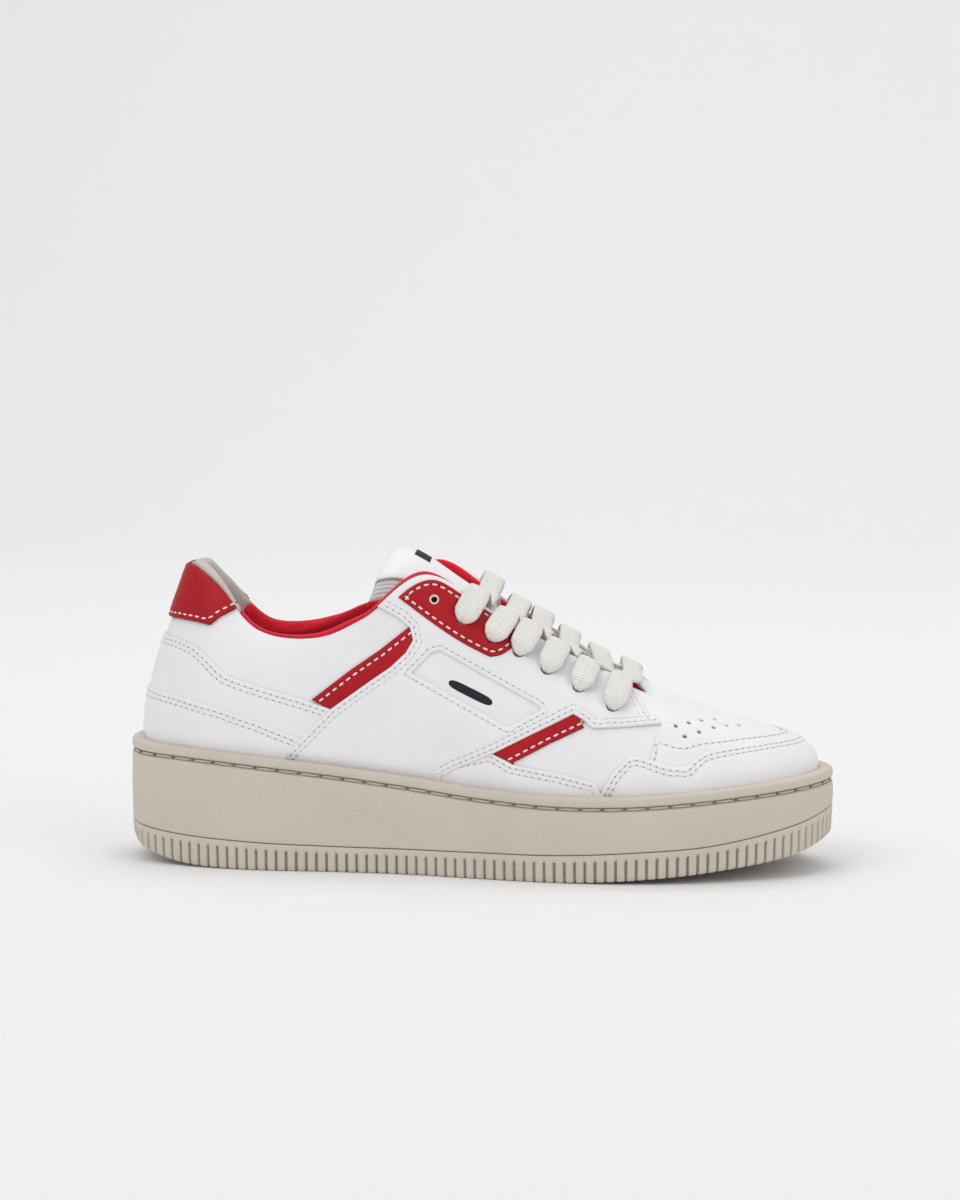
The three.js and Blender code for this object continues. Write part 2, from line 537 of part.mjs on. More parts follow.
// ---- one flat lace, crossed over six pairs of eyelets, its ends tucked down beside the tongue
const LACED_ROWS = 6;
const LACE_LIFT = TOP_OVERLAY[1] + LACE_THICK / 2 + 0.7;
const LACE_UNDER = LINING_DEPTH + LINING + LACE_THICK / 2 + 0.5;
const HOLE_WIDTH = 3.2;
const TIP_RADIUS = 1.3;
const TIP_LENGTH = 13;
const BAR_HUMP = 2.0;          // the bottom bar stands a little higher over the narrow throat

// A point by an eyelet: `edge` towards the lacing edge, `lift` off the leather.
function byEyelet(side, row, edge, lift) {
  const { u, t, centre, normal } = EYELETS[side][row];
  const hem = leather(u + 0.05, 1).sub(leather(u - 0.05, 1)).normalize();
  const up = leather(u, t + 0.02).sub(centre);
  const inward = up.addScaledVector(hem, -up.dot(hem)).normalize();
  return centre.clone().addScaledVector(inward, edge).addScaledVector(normal, lift);
}

const stop = (point, width = LACE_WIDTH) => ({ point, width });

// Over the leather's edge and down through an eyelet.
function downThrough(side, row) {
  const hump = row === 0 ? BAR_HUMP : 0;
  return [
    stop(byEyelet(side, row, 16, LACE_LIFT + hump)),
    stop(byEyelet(side, row, 11, LACE_LIFT + 0.7 + hump)),
    stop(byEyelet(side, row, 5, LACE_LIFT + 0.9 + hump * 0.3)),
    stop(byEyelet(side, row, 0.8, LACE_LIFT - 0.6), HOLE_WIDTH + 1),
    stop(byEyelet(side, row, 0, 0), HOLE_WIDTH),
    stop(byEyelet(side, row, 0.5, -LACE_UNDER + 0.4), HOLE_WIDTH + 1),
    stop(byEyelet(side, row, 5, -LACE_UNDER - 0.6 - hump / 2)),
    stop(byEyelet(side, row, 10, -LACE_UNDER - 0.8 - hump / 2)),
  ];
}

// A point above the tongue's face, a given distance along and across the foot.
function aboveTongue(x, y, lift) {
  let [low, high] = [0, 1];
  for (let round = 0; round < 30; round += 1) {
    const s = (low + high) / 2;
    if (tongueSpot(s, 0, 0).x > x) low = s;
    else high = s;
  }
  const k = low * (TONGUE_LINE.length - 1);
  const i = Math.min(Math.floor(k), TONGUE_LINE.length - 2);
  const half = THREE.MathUtils.lerp(TONGUE_HALF[i], TONGUE_HALF[i + 1], k - i);
  return tongueSpot(low, y / half, -lift);
}

// One half of the lace, from the middle of the bottom bar to its tucked end.
function laceHalf(firstSide) {
  let side = firstSide;
  const route = [...downThrough(side, 0)];
  for (let row = 1; row < LACED_ROWS; row += 1) {
    const [from, to] = [EYELETS[side][row - 1].centre.x, EYELETS[-side][row].centre.x];
    const at = (share) => from + (to - from) * share;
    const lift = LACE_THICK / 2 + GAP + (side === LATERAL ? 0 : LACE_THICK + GAP);
    const throat = Math.abs(along(TOPLINE_RING, EYELETS[side][row].u).y);
    route.push(stop(aboveTongue(at(0.35), side * throat * 0.4, LACE_THICK / 2 + 2 * GAP)));
    route.push(stop(aboveTongue(at(0.5), 0, lift)));
    route.push(stop(aboveTongue(at(0.65), -side * throat * 0.4, lift + (row === 1 ? 5 : 2.5))));
    side = -side;
    route.push(...downThrough(side, row));
  }
  route.pop();
  const { u } = EYELETS[side][LACED_ROWS - 1];
  const back = side === LATERAL ? -1 : 1;
  for (const [t, aside] of [[0.76, 0.2], [0.68, 0.3], [0.6, 0.4]]) {
    route.push(stop(raised(u + back * aside, t, -LACE_UNDER - 1.1), LACE_WIDTH * 0.6));
  }
  return route;
}

function ribbon(stops, thick) {
  const path = new THREE.CatmullRomCurve3(stops.map((s) => s.point), false, 'centripetal');
  const uphill = new THREE.Vector3(-0.87, 0, 0.5);
  const rings = stops.map(({ point, width }, i) => {
    const way = path.getTangent(i / (stops.length - 1));
    const across = uphill.clone().addScaledVector(way, -uphill.dot(way)).normalize();
    const up = way.clone().cross(across);
    const [half, flat] = [width / 2, thick / 2];
    return [[-half, -flat], [half, -flat], [half, flat], [-half, flat]]
      .map(([a, b]) => point.clone().addScaledVector(across, a).addScaledVector(up, b));
  });
  return ringStack(rings);
}

function makeLace() {
  const lateral = laceHalf(LATERAL);
  const medial = laceHalf(MEDIAL);
  const bar = aboveTongue(EYELETS[LATERAL][0].centre.x, 0, 8);
  add('lace', ribbon([...[...lateral].reverse(), stop(bar), ...medial], LACE_THICK), CREAM());
  for (const [name, route] of [['medial', lateral], ['lateral', medial]]) {
    const [before, end] = route.slice(-2).map((s) => s.point);
    const way = end.clone().sub(before).normalize();
    const tip = new THREE.CylinderGeometry(TIP_RADIUS * 0.8, TIP_RADIUS, TIP_LENGTH, 8);
    tip.applyQuaternion(new THREE.Quaternion().setFromUnitVectors(new THREE.Vector3(0, 1, 0), way));
    const centre = end.clone().addScaledVector(way, GAP + TIP_LENGTH / 2);
    tip.translate(centre.x, centre.y, centre.z);
    add(`lace_tip_${name}`, fromManifold(toManifold(tip)), CREAM());
  }
}

makeSole();
makeBody();
makeOverlays();
makeBinding();
makeTongue();
makeLace();

// The origin is the middle of the underside of the shoe's box.
const extent = new THREE.Box3().setFromObject(body);
const middle = extent.getCenter(new THREE.Vector3());
body.position.set(-middle.x, -middle.y, -extent.min.z);

export default shoe;
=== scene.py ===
# A low-cut lace-up shoe for the right foot, on a thick cupped rubber sole, made piece by piece round the
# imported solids. Lengths are worked out in millimetres and stored in metres; +X is the toe and -Y the
# outer (lateral) side of the foot.
import math

import bpy
import numpy as np
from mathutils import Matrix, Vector
from mathutils.geometry import delaunay_2d_cdt


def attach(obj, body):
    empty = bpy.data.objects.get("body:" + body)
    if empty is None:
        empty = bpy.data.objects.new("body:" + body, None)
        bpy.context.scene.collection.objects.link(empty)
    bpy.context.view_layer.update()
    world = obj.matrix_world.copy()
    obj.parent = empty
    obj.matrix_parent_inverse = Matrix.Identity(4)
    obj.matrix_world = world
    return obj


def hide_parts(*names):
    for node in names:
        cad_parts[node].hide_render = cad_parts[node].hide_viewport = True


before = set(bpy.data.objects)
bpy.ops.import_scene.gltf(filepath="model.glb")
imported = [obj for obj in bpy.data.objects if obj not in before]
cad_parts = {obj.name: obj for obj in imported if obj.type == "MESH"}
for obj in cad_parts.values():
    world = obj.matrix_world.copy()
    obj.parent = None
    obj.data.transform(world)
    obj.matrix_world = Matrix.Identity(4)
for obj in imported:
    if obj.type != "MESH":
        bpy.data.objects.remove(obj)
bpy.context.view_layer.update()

MM = 0.001
SIDE_SHIFT = 0.697             # the origin is the middle of the box, a little off the middle of the foot

# ---------------------------------------------------------------- sizes shared with the solids
CUP_WALL = 3.8
CUP_FLOOR = 2.4
GAP = 0.35
GROOVE_TOP = 3.4               # stitch groove under the rim
GROOVE_HEIGHT = 2.0
GROOVE_DEPTH = 1.4
UPPER_INSET = 6.5
UPPER_DEPTH = 8
FOOTBED = 4.5
LEATHER = 1.2
LINING = 1.0
LINING_DEPTH = 2.1
STIFFENER_ROOM = 1.7
COLLAR_PAD = 4.5
LACE_WIDTH = 9
LACE_THICK = 1.6

# Heights of the panels' faces above the body leather.
LOW = 0.9                      # stripes, heel overlay, side panel, toe band
MID = 1.7                      # saddle, toe guard, foxing, heel tab
HIGH = 2.6                     # eyelet patch
SEAM_PRESS = 0.22              # how deep a sewn row is pressed into its panel

# Stations round the shoe, heel (0) to toe (11): distance along, half widths outside and inside, and the
# heights of the rim, of the line where the tread begins, and of the tread's lower edge.
SOLE = [
    (-140, 0, 0, 48.3, 16.3, 11), (-133.5, 21.5, 21.5, 48.2, 15, 6), (-114, 32, 32, 47.4, 12.8, 1.2),
    (-85, 37.2, 35.8, 45.2, 11.2, 0), (-55, 37.2, 33.7, 42, 10.3, 0), (-25, 39.2, 33.2, 38.6, 10.2, 0),
    (5, 45, 37.7, 35.3, 10.5, 0), (35, 49.8, 45.5, 33.5, 10.9, 0), (66, 50.3, 49.5, 34, 12.6, 1.6),
    (97, 43.3, 43.8, 36.2, 15, 4.5), (127, 27, 29, 38.9, 21, 9), (140, 0, 0, 39.8, 25.5, 14),
]
# The upper's cross-section is a Bezier arch from inside the cup to its free edge: the two middle control
# points and the end, as distance along, half width and height.
SWELL = [
    (-136, 0, 72), (-131, 18, 72), (-112, 33, 68), (-85, 36.5, 66), (-56, 36, 62), (-28, 36.5, 58),
    (2, 41, 54), (34, 46.5, 50), (66, 47.5, 46), (97, 41.5, 47), (127.5, 26.5, 50.5), (139, 0, 56),
]
SHOULDER = [
    (-122.5, 0, 96), (-119, 14, 97), (-106, 26, 92), (-85, 31, 84), (-60, 32, 82), (-36, 33, 84),
    (-9, 34, 86), (22, 32, 80), (52, 28, 73), (80, 24, 66), (97, 12, 61), (105, 0, 58),
]
TOPLINE = [
    (-116.5, 0, 117), (-112.5, 8.5, 117), (-102, 17, 110.5), (-85, 24.5, 94), (-62, 28, 91.5),
    (-43, 28, 99.5), (-19, 24, 117), (8, 20.5, 101), (36, 17, 84.5), (58, 12, 73.5), (64, 6.5, 69.5),
    (66, 0, 68),
]
INNER_TOPLINE = {2: (-103.5, 16, 108), 3: (-87, 22.5, 92)}

TOE = len(SOLE) - 1
ROUND = 2 * TOE
LATERAL, MEDIAL = -1, 1
SIDES = (("lateral", LATERAL), ("medial", MEDIAL))


# ---------------------------------------------------------------- the camera
CAMERA_TURN, CAMERA_TILT = math.radians(7), math.radians(6.5)
CAMERA_AIM = (0, SIDE_SHIFT * MM, 0.104)
CAMERA_AWAY = 1.5              # metres from its aim
CAMERA_LENS, CAMERA_SENSOR = 113.46, 36


def add_object(name, data):
    made = bpy.data.objects.new(name, data)
    bpy.context.scene.collection.objects.link(made)
    return made


def look(thing, way):
    thing.rotation_mode = "QUATERNION"
    thing.rotation_quaternion = way.to_track_quat("-Z", "Y")


def aim_camera():
    turn, tilt = CAMERA_TURN, CAMERA_TILT
    back = Vector((math.sin(turn) * math.cos(tilt), -math.cos(turn) * math.cos(tilt), math.sin(tilt)))
    data = bpy.data.cameras.new("camera")
    data.sensor_fit = "AUTO"
    data.sensor_width = CAMERA_SENSOR
    data.lens = CAMERA_LENS
    data.clip_start, data.clip_end = 0.05, 50
    camera = add_object("camera", data)
    camera.location = Vector(CAMERA_AIM) + back * CAMERA_AWAY
    look(camera, -back)
    bpy.context.scene.camera = camera


aim_camera()


# ---------------------------------------------------------------- curves round the shoe
def around(outer, inner):
    points = [(x, -w, z) for x, w, z in outer] + [inner[i] for i in range(TOE - 1, 0, -1)]
    return np.array(points, float)


# A smooth curve from b to c at the share f, where a and d are the points before and after them.
def through(a, b, c, d, f):
    return 0.5 * (2 * b + (c - a) * f + (2 * a - 5 * b + 4 * c - d) * f**2 + (3 * b - a - 3 * c + d) * f**3)


def along(points, u):
    u = np.asarray(u, float)
    i = np.floor(u).astype(int)
    f = (u - i)[..., None]
    return through(*(points[(i + k) % len(points)] for k in (-1, 0, 1, 2)), f)


def inner_side(rows, share, special=None):
    special = special or {}
    return [special.get(i, (x, w + share * (SOLE[i][2] - SOLE[i][1]), z)) for i, (x, w, z) in enumerate(rows)]


def sole_line(height):
    return around([(s[0], s[1], s[height]) for s in SOLE], [(s[0], s[2], s[height]) for s in SOLE])


RIM, TREAD_LINE, TREAD_EDGE = sole_line(3), sole_line(4), sole_line(5)
SWELL_RING = around(SWELL, inner_side(SWELL, 1))
SHOULDER_RING = around(SHOULDER, inner_side(SHOULDER, 0.4))
TOPLINE_RING = around(TOPLINE, inner_side(TOPLINE, 0, INNER_TOPLINE))


def unit(v):
    return v / np.maximum(np.linalg.norm(v, axis=-1, keepdims=True), 1e-12)


def circle(count):
    return np.arange(count) * 2 * math.pi / count


def spokes(turn, a, b):
    return np.cos(turn)[:, None] * a + np.sin(turn)[:, None] * b


# A sine or cosine made blunt, for a rounded rectangle.
def blunt(wave, power):
    return np.sign(wave) * np.abs(wave) ** power


def sole_outward(points, u):
    way = along(points, u + 0.01) - along(points, u - 0.01)
    return unit(np.stack([way[..., 1], -way[..., 0], 0 * way[..., 0]], -1))


# A point of a sole curve moved in from the outside by `inset` and up by `rise`.
def sole_spot(points, u, inset, rise=0.0):
    u = np.asarray(u, float)
    spot = along(points, u)
    spot[..., 2] = np.maximum(spot[..., 2], 0) + rise
    return spot - sole_outward(points, u) * np.asarray(inset, float)[..., None]


# The leather's outer face: u runs round the shoe, t from the foot of the upper to its free edge.
def leather(u, t):
    u, t = np.broadcast_arrays(np.asarray(u, float), np.asarray(t, float))
    s, k = (1 - t)[..., None], t[..., None]
    return (sole_spot(RIM, u, UPPER_INSET, -UPPER_DEPTH) * s**3 + along(SWELL_RING, u) * 3 * s * s * k
            + along(SHOULDER_RING, u) * 3 * s * k * k + along(TOPLINE_RING, u) * k**3)


def slopes(u, t, step=1e-3):
    around_it = (leather(u + step, t) - leather(u - step, t)) / (2 * step)
    up_it = (leather(u, t + step) - leather(u, t - step)) / (2 * step)
    return around_it, up_it


def normal_at(u, t):
    return unit(np.cross(*slopes(u, t, 0.01)))


def raised(u, t, height):
    u, t = np.asarray(u, float), np.asarray(t, float)
    return leather(u, t) + normal_at(u, t) * np.asarray(height, float)[..., None]


# The (u, t) that goes with a small move over the surface.
def over_surface(ut, move):
    a, b = slopes(ut[..., 0], ut[..., 1])
    aa, ab, bb = (a * a).sum(-1), (a * b).sum(-1), (b * b).sum(-1)
    am, bm = (a * move).sum(-1), (b * move).sum(-1)
    det = aa * bb - ab * ab
    return ut + np.stack([(am * bb - bm * ab) / det, (bm * aa - am * ab) / det], -1)


# Where the upper passes two given coordinates on one side: (along, height), or (along, across).
def spot(side, first, second, axes=(0, 2), t=0.5):
    first, second = np.broadcast_arrays(np.asarray(first, float), np.asarray(second, float))
    u = np.interp(first, [(a[0] + b[0]) / 2 for a, b in zip(SWELL, SHOULDER)], range(TOE + 1))
    t = np.full_like(u, t)
    flip = (lambda v: v) if side == LATERAL else (lambda v: ROUND - v)
    for _ in range(40):
        here = leather(flip(u), t)
        du = (leather(flip(u + 1e-3), t) - here) * 1e3
        dt = (leather(flip(u), t + 1e-3) - here) * 1e3
        (i, j) = axes
        ex, ez = first - here[..., i], second - here[..., j]
        det = du[..., i] * dt[..., j] - du[..., j] * dt[..., i]
        det = np.where(np.abs(det) < 1e-6, 1e-6, det)
        u = u + np.clip((ex * dt[..., j] - ez * dt[..., i]) / det, -0.4, 0.4)
        t = t + np.clip((du[..., i] * ez - du[..., j] * ex) / det, -0.08, 0.08)
    return np.stack([flip(u), t], -1)


# For each u, the t at which the upper reaches a height that may depend on the distance along.
def level(us, height_of):
    us = np.asarray(us, float)
    low, high = np.zeros_like(us), np.ones_like(us)
    for _ in range(30):
        middle = (low + high) / 2
        here = leather(us, middle)
        below = here[..., 2] < height_of(us, here[..., 0])
        low, high = np.where(below, middle, low), np.where(below, high, middle)
    return np.stack([us, (low + high) / 2], -1)


TUCK = 2.5                     # how far the panels reach down inside the cup


def foot(u0, u1):
    us = np.linspace(u0, u1, max(2, int(abs(u1 - u0) * 14)))
    return level(us, lambda u, x: along(RIM, u)[..., 2] - TUCK)


def profile(points):
    xs, zs = zip(*sorted(points))
    return lambda u, x: np.interp(x, xs, zs)


# A line drawn in side elevation, laid on one side of the upper.
def line(side, points, step=2.0):
    points = np.array(points, float)
    dense = [points[:1]]
    for a, b in zip(points[:-1], points[1:]):
        n = max(1, int(np.linalg.norm(b - a) / step))
        dense.append(a + (b - a) * (np.arange(1, n + 1) / n)[:, None])
    dense = np.concatenate(dense)
    return spot(side, dense[:, 0], dense[:, 1])


# A smooth line through given points.
def smooth(points, steps):
    p = np.array(points, float)
    p = np.concatenate([2 * p[:1] - p[1:2], p, 2 * p[-1:] - p[-2:-1]])
    at = np.linspace(0, len(points) - 1, steps + 1)
    i = np.minimum(at.astype(int), len(points) - 2)
    f = (at - i)[:, None]
    return through(*(p[i + k] for k in range(4)), f)


# ---------------------------------------------------------------- finishes
# A socket of a material's tree that takes arithmetic.
class Wire:
    def __init__(self, finish, socket):
        self.finish, self.socket = finish, socket

    def sum(self, operation, *others):
        return self.finish.node("ShaderNodeMath", {"operation": operation}, dict(enumerate(others)))

    def __add__(self, other):
        return self.sum("ADD", self, other)

    def __sub__(self, other):
        return self.sum("SUBTRACT", self, other)

    def __mul__(self, other):
        return self.sum("MULTIPLY", self, other)

    def __rsub__(self, other):
        return self.sum("SUBTRACT", other, self)

    def __truediv__(self, other):
        return self.sum("DIVIDE", self, other)

    __radd__, __rmul__ = __add__, __mul__

    def of(self, operation, *others):
        return self.sum(operation, self, *others)

    # 0 below low, 1 above high.
    def ramp(self, low, high):
        return self.finish.node("ShaderNodeMapRange", {"interpolation_type": "SMOOTHSTEP"},
                                {"Value": self, "From Min": low, "From Max": high})


class Finish:
    def __init__(self, name, **fixed):
        self.material = bpy.data.materials.new(name)
        self.material.use_nodes = True
        self.tree = self.material.node_tree
        self.shader = self.tree.nodes["Principled BSDF"]
        for key, value in fixed.items():
            self.shader.inputs[key.replace("_", " ")].default_value = value

    def node(self, kind, settings=None, values=None, output=0):
        made = self.tree.nodes.new(kind)
        for key, value in (settings or {}).items():
            setattr(made, key, value)
        for key, value in (values or {}).items():
            if isinstance(value, Wire):
                self.tree.links.new(value.socket, made.inputs[key])
            else:
                made.inputs[key].default_value = value
        return Wire(self, made.outputs[output])

    def place(self, kind="Object"):
        return self.node("ShaderNodeTexCoord", output=kind)

    def noise(self, scale, detail=3.0, roughness=0.55):
        return self.node("ShaderNodeTexNoise", {}, {"Vector": self.place(), "Scale": scale,
                                                    "Detail": detail, "Roughness": roughness}, "Fac")

    def cells(self, scale, feature="F1"):
        return self.node("ShaderNodeTexVoronoi", {"feature": feature},
                         {"Vector": self.place(), "Scale": scale, "Randomness": 1.0}, "Distance")

    def mix(self, share, a, b):
        made = self.tree.nodes.new("ShaderNodeMix")
        made.data_type = "RGBA"
        for index, value in ((0, share), (6, a), (7, b)):
            if isinstance(value, Wire):
                self.tree.links.new(value.socket, made.inputs[index])
            else:
                made.inputs[index].default_value = value if index == 0 else (*value, 1)[:4]
        return Wire(self, made.outputs[2])

    def attribute(self, name):
        return self.node("ShaderNodeAttribute", {"attribute_name": name}, output="Fac")

    def set(self, socket, wire):
        self.tree.links.new(wire.socket, self.shader.inputs[socket])

    # Several layers of relief, each (height, distance in metres), the coarsest first.
    def relief(self, *layers):
        normal = None
        for height, distance in layers:
            values = {"Height": height, "Distance": distance, "Strength": 1.0}
            if normal is not None:
                values["Normal"] = normal
            normal = self.node("ShaderNodeBump", {}, values, "Normal")
        self.set("Normal", normal)


def srgb(r, g, b):
    return tuple((v / 255 / 12.92) if v <= 10 else ((v / 255 + 0.055) / 1.055) ** 2.4 for v in (r, g, b))


# Smooth coated leather: a fine pebble, faint creases, and paler or darker cut edges.
def leather_finish(name, colour, worn, cut, rough, grain, gloss=0.45):
    f = Finish(name, Specular_IOR_Level=gloss, Coat_Weight=gloss / 5, Coat_Roughness=0.3)
    cloud, pebble = f.noise(38, 4), f.cells(620, feature="SMOOTH_F1")
    fine = f.noise(2600, 2)
    base = f.mix(cloud.ramp(0.35, 0.75) * 0.5, colour, worn)
    base = f.mix(pebble.ramp(0.55, 0.95) * 0.25, base, worn)
    f.set("Base Color", f.mix(f.attribute("cut").ramp(0.5, 1.0) * 0.75, base, cut))
    f.set("Roughness", rough + cloud * 0.1 + pebble * 0.08)
    f.relief((f.noise(55, 3), 0.0007 * grain), (pebble, 0.00011 * grain), (fine, 0.00003))
    return f.material


# Spacer mesh: rows of small round holes knitted through a soft face; the holes are painted dark, as painted
# shade.
def mesh_finish(name, colour, deep, pitch):
    f = Finish(name, Specular_IOR_Level=0.25, Sheen_Weight=0.25, Sheen_Roughness=0.5)
    place = f.place("UV")
    split = f.node("ShaderNodeSeparateXYZ", {}, {0: place}, "X")
    down = Wire(f, split.socket.node.outputs["Y"])
    row = (down / (pitch * 0.87)).of("FLOOR")
    odd = row.of("MODULO", 2).of("ABSOLUTE")
    across = ((split / pitch + odd * 0.5).of("FRACT") - 0.5)
    up = (down / (pitch * 0.87)).of("FRACT") - 0.5
    reach = (across * across + up * up * 0.8).of("SQRT")
    hole = 1 - reach.ramp(0.16, 0.34)
    yarn = f.noise(4200, 2)
    base = f.mix(yarn.ramp(0.3, 0.8) * 0.35, colour, deep)
    # painted shade: the holes are darkened towards deep, which also gives the yarn's random tone
    f.set("Base Color", f.mix(hole * 0.65, base, deep))
    f.set("Roughness", 0.78 + yarn * 0.15)
    f.relief((1 - hole, 0.00035), (yarn, 0.00006))
    return f.material


def suede_finish(name, colour, dark):
    f = Finish(name, Specular_IOR_Level=0.2, Sheen_Weight=0.35, Sheen_Roughness=0.6)
    nap, patches = f.noise(1900, 4, roughness=0.7), f.noise(90, 3)
    base = f.mix(nap.ramp(0.3, 0.75) * 0.6, colour, dark)
    f.set("Base Color", f.mix(patches.ramp(0.4, 0.7) * 0.25, base, dark))
    f.set("Roughness", 0.85 + nap * 0.1)
    f.relief((patches, 0.0004), (nap, 0.00014))
    return f.material


# Moulded rubber with a cast skin: fine pitting, random dusty patches, and painted shade in its recesses and
# joints.
def rubber_finish(name, colour, dusty, dark):
    f = Finish(name, Specular_IOR_Level=0.35)
    pits, patches = f.cells(1500, feature="SMOOTH_F1"), f.noise(30, 4)
    speck = f.noise(900, 3)
    base = f.mix(patches.ramp(0.3, 0.75) * 0.35, colour, dusty)
    base = f.mix(speck.ramp(0.5, 0.75) * 0.2, base, dusty)
    # painted shade: recesses and joints, marked by the 'deep' attribute, are darkened towards dark
    f.set("Base Color", f.mix(f.attribute("deep") * 0.7, base, dark))
    f.set("Roughness", 0.62 + speck * 0.2)
    f.relief((f.noise(160, 4), 0.00035), (pits, 0.00012), (speck, 0.00008))
    return f.material


# Twisted thread.
def thread_finish(name, colour, dark):
    f = Finish(name, Specular_IOR_Level=0.3, Sheen_Weight=0.15)
    strand = f.noise(3500, 2)
    f.set("Base Color", f.mix(strand.ramp(0.35, 0.8) * 0.5, colour, dark))
    f.set("Roughness", 0.6 + strand * 0.2)
    f.relief((strand, 0.00008))
    return f.material


# A flat woven lace: V-shaped courses of yarn, drawn on the lace's own length and width, with painted shade in
# the grooves between them.
def lace_finish(name, colour, dark):
    f = Finish(name, Specular_IOR_Level=0.2, Sheen_Weight=0.3, Sheen_Roughness=0.5)
    place = f.place("UV")
    run = f.node("ShaderNodeSeparateXYZ", {}, {0: place}, "X")
    side = Wire(f, run.socket.node.outputs["Y"])
    fold = (side / 1.5).of("PINGPONG", 1.0)
    rib = (((run + fold * 0.6) / 0.8) * (2 * math.pi)).of("SINE") * 0.5 + 0.5
    gap = (side / 1.5).of("FRACT")
    seam = 1 - (gap - 0.5).of("ABSOLUTE").ramp(0.36, 0.5)
    weave = rib.of("POWER", 0.6) * (0.45 + seam * 0.55)
    fuzz = f.noise(3800, 3)
    # painted shade: the grooves between the yarn courses are darkened towards dark; the fuzz below is random
    # tone
    base = f.mix((1 - weave).ramp(0.25, 0.95) * 0.75, colour, dark)
    f.set("Base Color", f.mix(fuzz.ramp(0.5, 0.85) * 0.3, base, dark))
    f.set("Roughness", 0.8 + fuzz * 0.12)
    f.relief((weave, 0.0002), (fuzz, 0.0001))
    return f.material


# Foam, board and other hidden fillings, and small plain trims.
def filling_finish(name, colour, dark, scale, depth, rough):
    f = Finish(name, Specular_IOR_Level=0.3)
    cells = f.cells(scale)
    f.set("Base Color", f.mix(cells.ramp(0.2, 0.9) * 0.5, colour, dark))
    f.set("Roughness", rough + cells * 0.08)
    f.relief((cells, depth))
    return f.material


WHITE_LEATHER = leather_finish("white_leather", srgb(243, 243, 245), srgb(235, 236, 239),
                               srgb(224, 223, 222), 0.40, 0.55)
RED_LEATHER = leather_finish("red_leather", srgb(184, 14, 28), srgb(150, 8, 22),
                             srgb(112, 8, 18), 0.46, 1.0, 0.25)
CRIMSON_MESH = mesh_finish("crimson_mesh", srgb(240, 12, 50), srgb(186, 2, 30), 1.5)
GREY_MESH = mesh_finish("grey_mesh", srgb(226, 225, 223), srgb(150, 149, 148), 1.4)
GREY_SUEDE = suede_finish("grey_suede", srgb(206, 202, 196), srgb(170, 166, 160))
RUBBER = rubber_finish("sole_rubber", srgb(212, 202, 190), srgb(196, 186, 172), srgb(140, 130, 116))
SOLE_THREAD = thread_finish("sole_thread", srgb(205, 196, 183), srgb(160, 150, 136))
WHITE_THREAD = thread_finish("white_thread", srgb(240, 240, 240), srgb(190, 190, 192))
# painted shade: the dark red of the needle holes in the red leather, used as the hole beads of RED_SEAM
RED_SEAM_HOLE_SHADE = thread_finish("red_seam_hole_shade", srgb(120, 12, 24), srgb(80, 6, 16))
# painted shade: the grey of the needle holes in the white leather
NEEDLE_HOLE_SHADE = thread_finish("needle_hole", srgb(158, 158, 164), srgb(128, 128, 134))
# painted shade: the grey of the plugs sunk in the toe's punched holes
PUNCHED_HOLE_SHADE = thread_finish("punched_hole", srgb(126, 126, 130), srgb(70, 70, 74))
# painted shade: the darker tan of the needle holes between the sole stitches
SOLE_HOLE_SHADE = thread_finish("sole_needle_hole", srgb(128, 118, 106), srgb(96, 88, 78))
LACE_YARN = lace_finish("lace_yarn", srgb(250, 248, 243), srgb(222, 218, 209))
RING_PAINT = filling_finish("ring_paint", srgb(232, 226, 222), srgb(205, 196, 192), 900, 0.00002, 0.35)
PRINT = filling_finish("dark_print", srgb(34, 36, 42), srgb(22, 23, 28), 1400, 0.00002, 0.45)
FOAM = filling_finish("white_foam", srgb(240, 236, 222), srgb(205, 199, 182), 1300, 0.0002, 0.85)
BOARD = filling_finish("fibre_board", srgb(186, 168, 140), srgb(150, 132, 104), 2200, 0.00008, 0.85)


# ---------------------------------------------------------------- meshes
def mesh_object(name, points, faces, material, uv=None, **attributes):
    mesh = bpy.data.meshes.new(name)
    points = np.asarray(points, float) + (0, SIDE_SHIFT, 0)
    mesh.from_pydata((points * MM).tolist(), [], [tuple(int(i) for i in f) for f in faces])
    corners = np.zeros(len(mesh.loops), np.int32)
    mesh.loops.foreach_get("vertex_index", corners)
    layer = mesh.uv_layers.new(name="UVMap")
    flat = np.asarray(uv if uv is not None else points[:, :2], np.float32)
    layer.data.foreach_set("uv", flat[corners].ravel())
    for key, values in attributes.items():
        made = mesh.attributes.new(key, "FLOAT", "POINT")
        made.data.foreach_set("value", np.asarray(values, np.float32))
    mesh.polygons.foreach_set("use_smooth", [True] * len(mesh.polygons))
    mesh.materials.append(material)
    mesh.update()
    return add_object(name, mesh)


def settle(piece, body="shoe", nodes=()):
    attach(piece, body)
    if nodes:
        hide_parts(*nodes)
    return piece


# Closed rings of points joined one to the next: the sheet wraps in both directions, or its two end
# rings are closed straight across.
def ring_faces(count, n, ends=False):
    i = np.arange(n)
    j = (i + 1) % n
    faces = []
    for r in range(count - 1 if ends else count):
        a, b = r * n, ((r + 1) % count) * n
        faces.append(np.stack([a + i, a + j, b + j, b + i], 1))
    faces = np.concatenate(faces).tolist()
    if ends:
        last = (count - 1) * n
        for p in range(n // 2 - 1):
            q, r, s = p + 1, n - 2 - p, n - 1 - p
            faces += [[s, r, q, p], [last + p, last + q, last + r, last + s]]
    return faces


def loft(name, rings, material, ends=False, uv=None, **attributes):
    points = np.concatenate(rings)
    return mesh_object(name, points, ring_faces(len(rings), len(rings[0]), ends), material, uv, **attributes)


def lengths(points):
    step = np.linalg.norm(np.diff(points, axis=0), axis=1)
    return np.concatenate([[0], np.cumsum(step)])


